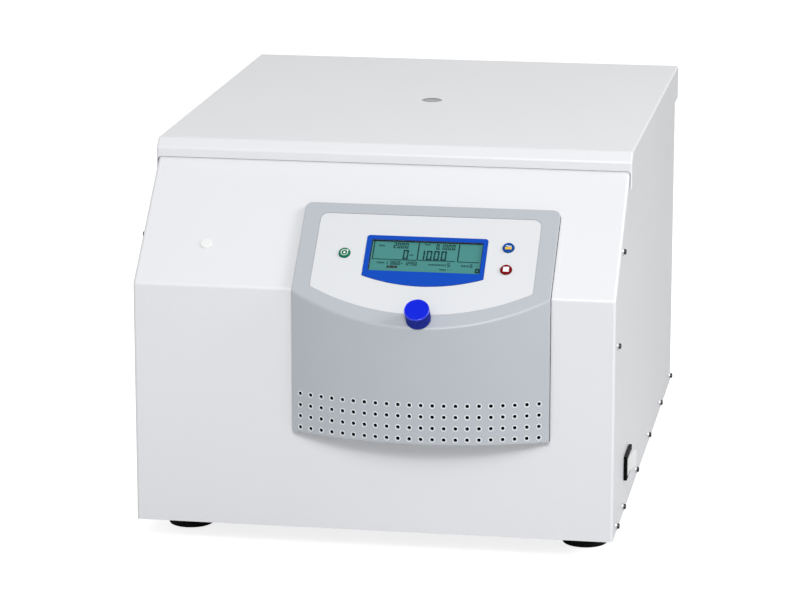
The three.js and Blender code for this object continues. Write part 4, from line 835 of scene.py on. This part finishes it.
def build_knob():
    # The fluted side gets a darker blue finish: painted shade on the knob's side
    knob = drum("panel_knob", 12.3, 6.8, 22.0, sides=KNOB_SIDES)
    select_faces(knob, on_flute)
    bpy.ops.mesh.inset(thickness=0.12 * MM, depth=0.0, use_individual=True)
    bpy.ops.transform.resize(value=(1.04, 1.04, 1), center_override=(0, 0, 0))
    leave_edit()
    cap = turned("knob_cap", [(12.0, 21.9), (12.2, 23.4), (11.6, 23.8), (11.3, 23.6), (1, 23.55)], KNOB_SIDES)
    # The rim ring's lighter blue finish is a painted highlight along the cap's edge
    profile = [(12.2, 21.8), (12.85, 22.1), (12.85, 23.2)] + arc(12.45, 23.5, 0.4, 0, 150, 5)
    rim = turned("knob_rim", profile + [(12.1, 23.3), (12.2, 21.8)], KNOB_SIDES, ring=True)
    cut(knob, drum("socket", 3.4, 0, 18, sides=32))
    pieces = ((knob, "knob_grip", "control_knob"), (cap, "knob_blue"), (rim, "knob_shine"))
    for piece, look, *nodes in pieces:
        dress(shift(piece, *KNOB_PLACE), look, "knob_blue", "knob", *nodes, onto="panel")


# The display's figures

SEGMENTS = {
    "0": "abcdef", "1": "bc", "2": "abged", "3": "abgcd", "4": "fgbc", "5": "afgcd", "6": "afgedc",
    "7": "abc", "8": "abcdefg", "9": "abcdfg",
}
INK = (3.66, 3.71)
SLANT = Matrix(((1, 0.02, 0, 0), (0, 1, 0, 0), (0, 0, 1, 0), (0, 0, 0, 1)))
# How far the figures' painted shadow on the pane lies from the figures
PAINTED_SHADOW_SHIFT = Vector((0.55, 0, 0)) - SLOPE_UP * 0.7 - SLOPE_OUT * 0.03
# Text, left, low, width and height of a digit, thickness of its bars
FIGURES = (
    ("2000", 15.9, 53.5, 3.2, 7.0, 1.05), ("0", 26.8, 40.0, 5.7, 11.8, 1.75),
    ("0", 60.2, 53.5, 3.2, 6.7, 1.05), ("1000", 64.6, 53.5, 3.2, 6.7, 1.05),
    ("1000", 43.6, 39.8, 5.9, 11.9, 1.8), ("1", 10.2, 32.6, 2.1, 4.4, 0.7),
    ("0660", 15.1, 32.6, 2.1, 4.8, 0.65), ("12450", 29.8, 32.4, 2.1, 4.8, 0.65),
    ("5", 74.0, 32.6, 3.0, 4.2, 0.7), ("5", 97.4, 32.4, 2.7, 4.0, 0.7),
)
# Left, right, low, high, number of dashes
LEGENDS = (
    (1.0, 7.2, 55.4, 57.4, 6), (48.6, 54.4, 58.6, 60.4, 5), (33.8, 37.8, 44.6, 46.4, 4),
    (1.4, 9.2, 33.9, 36.0, 8), (26.4, 28.4, 33.8, 35.6, 2), (54.9, 73.0, 33.4, 35.4, 16),
    (88.4, 96.9, 33.2, 35.2, 8), (66.9, 73.6, 27.6, 29.5, 6), (75.4, 76.2, 28.4, 29.4, 1),
    (78.6, 79.4, 28.4, 29.4, 1),
)
# Left, right, low, high
RULES = (
    (-4.6, -3.7, 39.0, 61.0), (-3.7, 19.0, 38.9, 39.5), (19.0, 41.4, 38.6, 39.4), (41.7, 42.8, 39.2, 60.6),
    (42.8, 81.4, 38.9, 39.7), (83.6, 84.7, 38.9, 60.7), (84.7, 106.6, 38.6, 39.4), (64.0, 64.6, 53.5, 54.4),
)


def digit_bars(text, left, low, width, height, thick):
    """Slightly slanting seven-bar digits, left to right from their lower left corner."""
    bars = []
    gap = thick * 0.12
    lower, upper = (low, low + height / 2), (low + height / 2, low + height)
    for i, sign in enumerate(text):
        x = left + i * width * 1.27
        full, at_left, at_right = (x, x + width), (x, x + thick), (x + width - thick, x + width)
        spots = {
            "a": (full, (low + height - thick, low + height)),
            "g": (full, (low + (height - thick) / 2, low + (height + thick) / 2)),
            "d": (full, (low, low + thick)),
            "f": (at_left, upper), "b": (at_right, upper), "e": (at_left, lower), "c": (at_right, lower),
        }
        for across, up in (spots[which] for which in SEGMENTS[sign]):
            bar = shift(block("bar", grown(across, -gap), grown(up, -gap), INK), y=-low)
            bar.data.transform(SLANT)
            bars.append(shift(bar, y=low))
    return bars


def dash_row(left, right, low, high, count):
    """A row of short upright dashes, standing for the small legends beside the figures."""
    step = (right - left) / count
    dashes = []
    for i in range(count):
        x = left + i * step
        width = step * (0.5 + 0.12 * (i % 2))
        top = high if i % 3 == 0 else low + (high - low) * 0.72
        dashes.append(block("dash", (x, x + width), (low, top), INK))
    return dashes


def ink_of(name, pieces, look):
    ink = joined(*pieces)
    ink.name = name
    return finish(place(ink, "panel"), look, "black_plastic", "casing")


def build_display():
    pane = block("display_pane", (-6.5, 108.7), (23.3, 61.9), (-OVERRUN, 3.6))
    round_edges(pane, 0.2, segments=2)
    dress(pane, "display_pane", "display_pane", "casing", "lcd_display", onto="panel")
    # A black frame round the pane, just inside the window's edges: painted shade for the window's shadowed
    # inner walls
    rim = block("display_rim", (-6.7, 108.9), (23.1, 62.1), (3.7, 5.15))
    cut(rim, block("rim_hole", (-6.0, 108.3), (23.5, 61.4), (3, 6)))
    round_edges(rim, 0.15, segments=2)
    dress(rim, "black_plastic", "black_plastic", "casing", onto="panel")


def build_figures():
    ink = []
    for figure in FIGURES:
        ink += digit_bars(*figure)
    for legend in LEGENDS:
        ink += dash_row(*legend)
    for left, right, low, high in RULES:
        ink.append(block("rule", (left, right), (low, high), INK))
    icon = rounded_slab("icon", (103.4, 108.0), (25.9, 31.2), INK, 0.9)
    ink.append(cut(icon, drum("icon_eye", 1.1, 3, 5, 105.7, 28.5, 16)))
    ink = ink_of("display_figures", ink, "display_ink")
    # A darker copy of the figures, a little to the right and down the slope, is their painted shadow on the
    # pane
    shade = copy_of(ink, "display_figure_shade", *PAINTED_SHADOW_SHIFT)
    finish(shade, "display_shade", "black_plastic", "casing")
    mark = rounded_slab("mark", (11.8, 22.8), (28.3, 31.3), INK, 1.2)
    cut(mark, *[block("mark_split", x, (28.0, 32.0), (3, 5)) for x in ((14.4, 15.0), (19.4, 20.0))])
    ink_of("display_mark", [mark], "display_mark")


# Plug, port, feet, switch and screws

FOOT_X = 212
FEET_Y = {"front": 88, "rear": 560}
WHERE = {"left": -1, "right": 1}


def build_plug():
    profile = [(3.6, -10), (4.8, -5), (4.8, 0.3), (6, 0.3), (6, 0.6)] + arc(5.4, 0.6, 0.6, 0, 90, 4)
    plug = shift(turned("round_plug", profile + [(3, 1.25)], 48), *PLUG_PLACE)
    dress(plug, "white_plastic", "white_plastic", "plug", "release_plug", onto="panel")


def build_port():
    profile = [(9.5, 371), (9.5, 381.3), (11.2, 381.3), (11.2, 382.5)] + arc(10.8, 382.5, 0.4, 0, 90, 3)
    profile += [(9.4, 382.9), (9.1, 382.55), (1, 382.55)]
    port = shift(turned("view_port_window", profile), y=ROTOR_Y)
    dress(port, "view_glass", "view_window", "lid", "view_port")


def build_feet():
    profile = [(8, -19), (8, -27.4), (8.6, -28), (22.0, -28)] + arc(22.2, -26.2, 1.8, -80, 0, 5)
    profile += [(23.6, -16)] + arc(21.0, -9.2, 1.8, 20, 85, 4)
    profile += [(19, -7.2), (19, -0.8), (18.5, -0.3), (4, -0.3)]
    for end, y in FEET_Y.items():
        for where, side in WHERE.items():
            node = "foot_" + end + "_" + where
            foot = shift(turned(node + "_rubber", profile), side * FOOT_X, y)
            dress(foot, "black_rubber", "black_rubber", "casing", node)


def build_switch():
    bezel = block("switch_bezel", (HALF_WIDTH + CLEARANCE, 253.7), grown(SWITCH_Y, 2), grown(SWITCH_Z, 2))
    round_edges(bezel, 0.4)
    add(bezel, block("switch_body", (224, 252), SWITCH_Y, SWITCH_Z))
    cut(bezel, block("switch_room", (226, 260), grown(SWITCH_Y, -2.1), grown(SWITCH_Z, -2)))
    dress(bezel, "switch_black", "black_plastic", "casing", "switch_frame")

    rocker_z = grown(SWITCH_Z, -2.3)
    face = 254.6
    tilt = math.radians(14)
    rocker = block("switch_rocker", (245.2, face), (107.2, 127.4), rocker_z)
    proud = block("rocker_proud", (240.5, 260), (127, 145.2), rocker_z)
    slice_off(proud, (face, 127, 0), Vector((math.cos(tilt), -math.sin(tilt), 0)))
    round_edges(add(rocker, proud), 0.6)
    dress(rocker, "white_plastic", "white_plastic", "rocker", "mains_rocker")


def screw(name, spot, facing):
    """A black socket screw in a bright cup washer, turned to face along a direction."""
    cup = turned(name + "_cup", [(4.0, 0), (4.0, 0.6), (3.8, 1.1), (3.4, 1.3), (2.95, 1.1), (2.95, 0)], 24)
    head = turned(name, [(2.8, 0.6), (2.95, 2.6), (2.6, 3.3), (1.9, 3.6), (0.5, 3.6)], 24)
    cut(head, drum("socket", 1.25, 1.6, 4, sides=6))
    for piece, look in ((cup, "screw_steel"), (head, "black_screw")):
        piece.rotation_euler = Vector(facing).to_track_quat("Z", "Y").to_euler()
        piece.location = Vector(spot) * MM
        dress(bake_place(piece), look, "bright_steel", "casing")


def flat_screws(name, profile, socket, spots, body):
    """Small socket screws that face up or down, between the heights of their sockets."""
    for i, (x, y) in enumerate(spots):
        head = turned(name + "_" + str(i + 1), profile, 24)
        cut(head, drum("socket", 1.1, *socket, sides=6))
        dress(shift(head, x, y), "screw_steel", "bright_steel", body)


def build_side_screws():
    spots = [(99, 8.7), (238, 8.7), (378, 8.7), (516, 8.7), (640, 8.7), (62, 292), (24, 202), (35, 7)]
    for where, side in WHERE.items():
        for i, (y, z) in enumerate(spots):
            screw("side_screw_" + where + "_" + str(i + 1), (side * HALF_WIDTH, y, z), (side, 0, 0))


# The bowl, the deck round it and the rotor

ROUND = 160
LATCH_X = 150
SPRING_X = 210
PIVOT_HEIGHT = 262.0
PIVOT_REACH = 98.0
ARM_HEIGHTS = (248, 276)


def quarter_turns(piece):
    """Four copies of a piece, turned in equal steps about the upright axis."""
    copies = []
    for i in range(4):
        twin = copy_of(piece, piece.name + "_" + str(i + 1))
        copies.append(shift(twin, turn=90 * i, axis="Z"))
    bpy.data.objects.remove(piece)
    return copies


def build_bowl():
    profile = [(34, 151.5)] + arc(174, 173.5, 22, -90, 0, 10) + [(196, 230)]
    profile += arc(197, 369.1, 1, 180, 90, 4) + [(205.4, 370.1)] + arc(205.4, 369.5, 0.6, 90, 0, 3)
    profile += [(206, 368.6), (197.5, 368.6)]
    profile += arc(174, 173.5, 23.5, 0, -90, 10) + [(34, 150), (34, 151.5)]
    bowl = shift(turned("bowl_liner", profile, ROUND, ring=True), y=ROTOR_Y)
    dress(bowl, "bowl_steel", "bright_steel", "casing", "rotor_bowl")


def build_gasket():
    profile = [(207, 370.4), (207, 372.9)] + arc(206.3, 372.9, 0.7, 0, 90, 3)
    profile += arc(202, 373.6, 2.4, 0, 180, 10) + arc(197.7, 372.9, 0.7, 90, 180, 3)
    profile += [(197, 370.4), (207, 370.4)]
    gasket = shift(turned("bowl_seal", profile, ROUND, ring=True), y=ROTOR_Y)
    dress(gasket, "black_rubber", "black_rubber", "casing", "bowl_gasket")


def build_boot():
    profile = [(9.3, 181.8), (15.4, 181.8), (16, 181.2), (16, 177.8), (20.5, 176.2), (19.3, 173.2)]
    profile += [(23.6, 170.6), (22.3, 167.2), (25.4, 164.2), (24.2, 160.6), (26.6, 157.6), (26.2, 154.6)]
    profile += [(28, 153.8), (43.4, 153.8), (44, 153.2), (44, 151.8), (24, 151.8), (22, 166.4)]
    profile += [(9.3, 177.4), (9.3, 181.8)]
    boot = shift(turned("boot_folds", profile, ring=True), y=ROTOR_Y)
    dress(boot, "black_rubber", "black_rubber", "casing", "shaft_boot", angle=70)


def build_deck():
    deck = plate("deck_sheet", span(0, 242), (132, 640), (366.3, 368.3), 18, edge=0.6)
    add(deck, drum("collar", 200.5, 352, 368.3, 0, ROTOR_Y, ROUND))
    profile = [(1, 340), (198.5, 340), (198.5, 366.8)] + arc(200, 366.8, 1.5, 180, 90, 5)
    cut(deck, shift(turned("mouth", profile + [(200, 372), (1, 372)], ROUND), y=ROTOR_Y))
    for side in SIDES:
        cut(deck, plate("latch_slot", span(side * LATCH_X, 7), (139, 165), (350, 380), 1.5))
        cut(deck, plate("spring_slot", span(side * SPRING_X, 9), (540, 624), (350, 380), 6))
    dress(deck, "deck_white", "white_plastic", "casing", "deck_tray")
    spots = [(x, y) for y in (150, 350, 622) for x in (-226, 226)]
    profile = [(3.2, 368.2), (3.2, 368.5)] + arc(1.6, 367.4, 2, 40, 80, 4) + [(1.3, 369.3)]
    flat_screws("deck_screw", profile, (368.5, 371), spots, "casing")


def rotor_arm():
    """One arm of the rotor, with half of each trunnion beside it and the pocket of its screw."""
    arm = block("rotor_arm", (0, 103), span(0, 15), ARM_HEIGHTS)
    shift(round_edges(arm, 1.2), turn=45, axis="Z")
    low, high = 58, 116
    tip = block("arm_tip", (low, high), (low, high), ARM_HEIGHTS)
    slice_off(tip, (high, 73, PIVOT_HEIGHT), (1, 1, 0))
    bevel_edges(tip, 4, 5, lambda a, b: (
        abs(a.z - b.z) > 20 and not (abs(a.x - low) < 0.1 and abs(a.y - low) < 0.1)
    ))
    add(arm, round_edges(tip, 1.0, angle=50))
    pin = turned("trunnion", [(4.2, 50), (5, 50.8), (5, 63)], 32)
    lying = copy_of(pin, "trunnion_across")
    shift(pin, PIVOT_REACH, 0, PIVOT_HEIGHT, turn=-90)
    shift(lying, 0, PIVOT_REACH, PIVOT_HEIGHT, turn=90, axis="Y")
    add(arm, pin, lying)
    pocket = turned("pocket", [(9.3, 262), (10.5, 263.2), (10.5, 275.2), (11.3, 276), (11.3, 280)], 40)
    return cut(arm, shift(pocket, 39, 39))


def build_rotor():
    profile = [(1, 244), (33, 244), (34, 245), (34, 281)] + arc(33, 281, 1, 0, 90, 3) + [(1, 282)]
    head = turned("rotor_cross", profile, 96)
    add(head, *quarter_turns(rotor_arm()))
    cut(head, drum("bore", 11.3, 240, 290, sides=48))
    dress(shift(head, y=ROTOR_Y), "rotor_alloy", "cast_alloy", "rotor", "rotor_head")


def build_rotor_nut():
    profile = [(1, 282.3), (26.2, 282.3), (27, 283.1), (27, 286.5), (26.2, 287.3), (22.6, 287.3), (22, 287.9)]
    profile += [(22, 300.8)] + arc(20.5, 300.8, 1.5, 0, 90, 5) + [(9, 302.3), (8.4, 301.7), (1, 301.7)]
    nut = turned("rotor_lock_nut", profile, 96)
    grip = shift(turned("grip", [(9, 287.3), (9, 300.8), (10, 302.3), (10, 306)], 40), 26.5)
    cut(nut, *quarter_turns(grip))
    cut(nut, drum("thread_hole", 7.3, 276, 300.3, sides=40))
    dress(shift(nut, y=ROTOR_Y), "turned_steel", "bright_steel", "rotor", "rotor_nut")


def build_buckets():
    profile = [(1, 176)] + arc(34, 188, 12, -90, 0, 8) + [(46, 273.6), (47.2, 274.4), (47.2, 277.3)]
    profile += arc(46.5, 277.3, 0.7, 0, 90, 3) + arc(43.8, 277.2, 0.8, 90, 180, 3)
    profile += arc(31, 191, 12, 0, -90, 8) + [(1, 179)]
    cup = turned("bucket", profile, 96)
    seat_radius = 5.35
    seats = []
    for side in SIDES:
        ear_y = sorted((side * 44.5, side * 57.4))
        add(cup, plate("ear", span(0, 12), ear_y, ARM_HEIGHTS, 4, "y", 5, edge=0.8))
        seat_y = sorted((side * 49.7, side * 66))
        seat = shift(drum("seat", seat_radius, *seat_y, sides=40), z=PIVOT_HEIGHT, turn=-90)
        seats.append(add(seat, block("seat_mouth", span(0, seat_radius), seat_y, (240, PIVOT_HEIGHT))))
    cut(cup, *seats)
    for i, bucket in enumerate(quarter_turns(shift(cup, PIVOT_REACH))):
        node = "bucket_" + str(i + 1)
        dress(shift(bucket, y=ROTOR_Y), "bucket_alloy", "cast_alloy", node, node)


# Under the lid


def build_liner():
    liner = plate("lid_lining", span(0, 238), (138, 640), (377.6, 380.8), 20, edge=0.7)
    profile = [(1, 380.6), (184, 380.6), (184, 375.4)] + arc(183.2, 375.4, 0.8, 0, -90, 4) + [(1, 374.6)]
    add(liner, shift(turned("disc", profile, ROUND), y=ROTOR_Y))
    for side in SIDES:
        add(liner, plate("striker_seat", span(side * LATCH_X, 14), (138, 166), (374.6, 380.6), 3, edge=0.6))
        tab = block("spring_tab", sorted((side * 214.2, side * 217.2)), (547, 573), (359, 379.1))
        slice_off(tab, (0, 547, 367), (0, -8, -13))
        slice_off(tab, (0, 573, 367), (0, 8, -13))
        bevel_edges(tab, 4, 5, lambda a, b: abs(a.x - b.x) > 2 and max(a.z, b.z) < 370)
        add(liner, tab)
    cut(liner, drum("port_hole", 9.8, 365, 390, 0, ROTOR_Y))
    dress(liner, "deck_white", "white_plastic", "lid", "lid_liner")
    spots = [(-226, 150), (0, 150), (226, 150), (-226, 390), (226, 390), (-120, 628), (0, 628), (120, 628)]
    profile = [(3.2, 377.7), (3.2, 377.4), (2.6, 376.9), (1.2, 376.6)]
    flat_screws("liner_screw", profile, (370, 377.3), spots, "lid")


def across_spring(name, radius, x, height=0.0, sides=32):
    """A bar that runs sideways through a gas spring, in the spring's own drawing."""
    return shift(drum(name, radius, *x, sides=sides), z=height, turn=90, axis="Y")


def spring_eye(height):
    """The flat eye at the end of a gas spring."""
    eye = drum("eye", 8, -3, 3, sides=40)
    return shift(round_edges(eye, 0.5, segments=2, angle=50), z=height, turn=90, axis="Y")


def build_gas_springs():
    # The closed spring leans back by 40 mm over its rise of 322 mm
    length = math.hypot(40, 322)
    lean = math.degrees(math.atan2(40, 322))
    barrel = [(1, 6.5), (3, 6.5), (3, 10.4), (8.6, 13.2), (10, 15), (10, 190), (9.3, 191.6), (9.3, 193.6)]
    barrel += [(10, 195.2), (10, 208.4)] + arc(8.4, 208.4, 1.6, 0, 90, 4) + [(4.6, 210), (4.6, 102), (1, 102)]
    for where, side in WHERE.items():
        tube = add(turned("spring_barrel_" + where, barrel, 40), spring_eye(0))
        cut(tube, across_spring("eye_bore", 4.32, span(0, 12)))
        rod = turned("spring_piston_" + where, [(3.4, 108), (4, 108.6), (4, 321.5)], 32)
        add(rod, spring_eye(length))
        add(rod, across_spring("stub", 4, sorted((0, side * 3.9)), length))
        for piece, look, slot, kind in (
            (tube, "spring_black", "spring_black", "tube_"), (rod, "rod_chrome", "bright_steel", "rod_"),
        ):
            shift(piece, side * SPRING_X, 520, 45, turn=-lean)
            dress(piece, look, slot, "spring_" + kind + where, "gas_spring_" + kind + where)


def refined(node, look, slot, body, width=0.3):
    """A copy of a solid with its triangles merged into whole faces and its edges rounded."""
    twin = bpy.data.objects.new(node + "_detail", frame["nodes"][node].data.copy())
    bpy.context.scene.collection.objects.link(twin)
    select_only(twin)
    bpy.ops.object.mode_set(mode="EDIT")
    bpy.ops.mesh.select_all(action="SELECT")
    bpy.ops.mesh.remove_doubles(threshold=1e-5)
    bpy.ops.mesh.dissolve_limited(angle_limit=math.radians(0.5))
    leave_edit()
    round_edges(twin, width, segments=2, angle=40)
    finish(smooth(twin), look, slot, body, node)


def build_small_metalwork():
    for where in WHERE:
        refined("lid_striker_" + where, "turned_steel", "bright_steel", "lid")
        refined("lock_unit_" + where, "sheet_steel", "bright_steel", "casing")
        refined("lock_latch_" + where, "turned_steel", "bright_steel", "latch_" + where)
        refined("hinge_base_" + where, "sheet_steel", "bright_steel", "casing")
        refined("hinge_leaf_" + where, "sheet_steel", "bright_steel", "lid")
    refined("base_pan", "sheet_steel", "bright_steel", "casing", 0.4)
    refined("power_unit", "cast_alloy", "cast_alloy", "casing")


# The back

FAN = Sizes(x=-150, z=62, half=40, screws=35.5, middle=633.7, spider=644.2)
BACK_CUT = (640, 655)


def fan_corners(half):
    return [(i * half, j * half) for i in SIDES for j in SIDES]


def to_fan(piece, y, x=0.0, z=0.0):
    """Turns a piece drawn about the upright axis to the fan's axis, its top towards the back."""
    return shift(piece, FAN.x + x, y, FAN.z + z, turn=-90)


def grille_ring(outer):
    """A ring of slots, cut by a cross of spokes."""
    inner = outer - 8
    profile = [(outer, -12), (outer, 12), (inner, 12), (inner, -12), (outer, -12)]
    ring = turned("grille_ring", profile, ring=True)
    wide, narrow, tall = span(0, 50), span(0, 2.5), span(0, 20)
    cut(ring, block("spoke", wide, narrow, tall), block("spoke", narrow, wide, tall))
    return shift(ring, FAN.x, DEPTH, FAN.z, turn=90)


def build_back():
    wall = (DEPTH - SHEET, DEPTH)
    panel = plate("back_panel", span(0, 248.2), wall, (0, 364.2), 4, "y", 5, edge=0.3, edge_steps=2)
    slots = []
    for i in range(7):
        z = 190 + 15 * i
        for x in (-120, 120):
            slots.append(plate("slot", span(x, 45), BACK_CUT, (z, z + 6), 2.9, "y", 6))
    inlet_hole = block("inlet_hole", (151.7, 188.3), BACK_CUT, (49.7, 74.3))
    cut(panel, joined(*slots), inlet_hole)
    for outer in (36.7, 24.7, 12.7):
        cut(panel, grille_ring(outer))
    dress(panel, "casing_powder_coat", "casing_paint", "casing", "rear_panel")
    spots = [(-238, 12), (238, 12), (-238, 182), (238, 182), (-100, 354), (100, 354), (0, 12)]
    spots += [(FAN.x + x, FAN.z + z) for x, z in fan_corners(FAN.screws)]
    for i, (x, z) in enumerate(spots):
        screw("back_screw_" + str(i + 1), (x, DEPTH, z), (0, 1, 0))


def build_fan():
    sides, heights = span(FAN.x, FAN.half), span(FAN.z, FAN.half)
    housing = plate("fan_housing", sides, (621.2, 646.2), heights, 4, "y", 5, edge=0.4, edge_steps=2)
    bore = turned("fan_bore", [(39, -15), (37, -10.5), (37, 10.5), (39, 15)], 96)
    cut(housing, to_fan(bore, FAN.middle))
    for x, z in fan_corners(FAN.screws):
        cut(housing, to_fan(drum("mount_hole", 2.1, -20, 20, sides=20), FAN.middle, x, z))
    spider = turned("spider", [(1, -2), (15.4, -2), (16, -1.4), (16, 1.4), (15.4, 2), (1, 2)])
    long, thin = span(0, 38.6), span(0, 2)
    add(spider, block("strut", long, thin, thin))
    add(spider, block("strut", thin, long, thin))
    add(spider, drum("spindle", 4, -19, 0, sides=32))
    add(housing, to_fan(spider, FAN.spider))
    dress(housing, "black_plastic", "black_plastic", "casing", "fan_frame")


def build_inlet():
    flange = plate("inlet_socket", (146, 194), (648.3, 650.3), (48, 76), 2, "y", 4, edge=0.5)
    add(flange, block("inlet_body", (152, 188), (626.3, 649.3), (50, 74)))
    mouth = block("mouth", (157.5, 182.5), (633.3, 660), (53.5, 70.5))
    cut(flange, bevel_edges(mouth, 4, 1, lambda a, b: abs(a.y - b.y) > 5 and max(a.z, b.z) > 70))
    dress(flange, "black_plastic", "black_plastic", "casing", "mains_inlet")
    for i, (x, z) in enumerate(((163, 60.5), (170, 65), (177, 60.5))):
        pin = block("inlet_pin_" + str(i + 1), span(x, 1), (632.3, 646.3), span(z, 2))
        dress(round_edges(pin, 0.4), "turned_steel", "bright_steel", "casing")


set_camera()
set_lights()
set_world()
set_floor()
finish_nodes()
for build in (
    build_hood, build_lid, build_fascia, build_vent_rims_painted_highlight, build_vent_filter, build_fascia_seal_and_shadow_gap, build_film,
    build_surround, build_display, build_figures, build_keys, build_knob, build_plug, build_port, build_feet,
    build_switch, build_side_screws, build_bowl, build_gasket, build_boot, build_deck, build_rotor,
    build_rotor_nut, build_buckets, build_liner, build_gas_springs, build_small_metalwork, build_back,
    build_fan, build_inlet,
):
    build()

bpy.context.scene.view_settings.view_transform = "Standard"
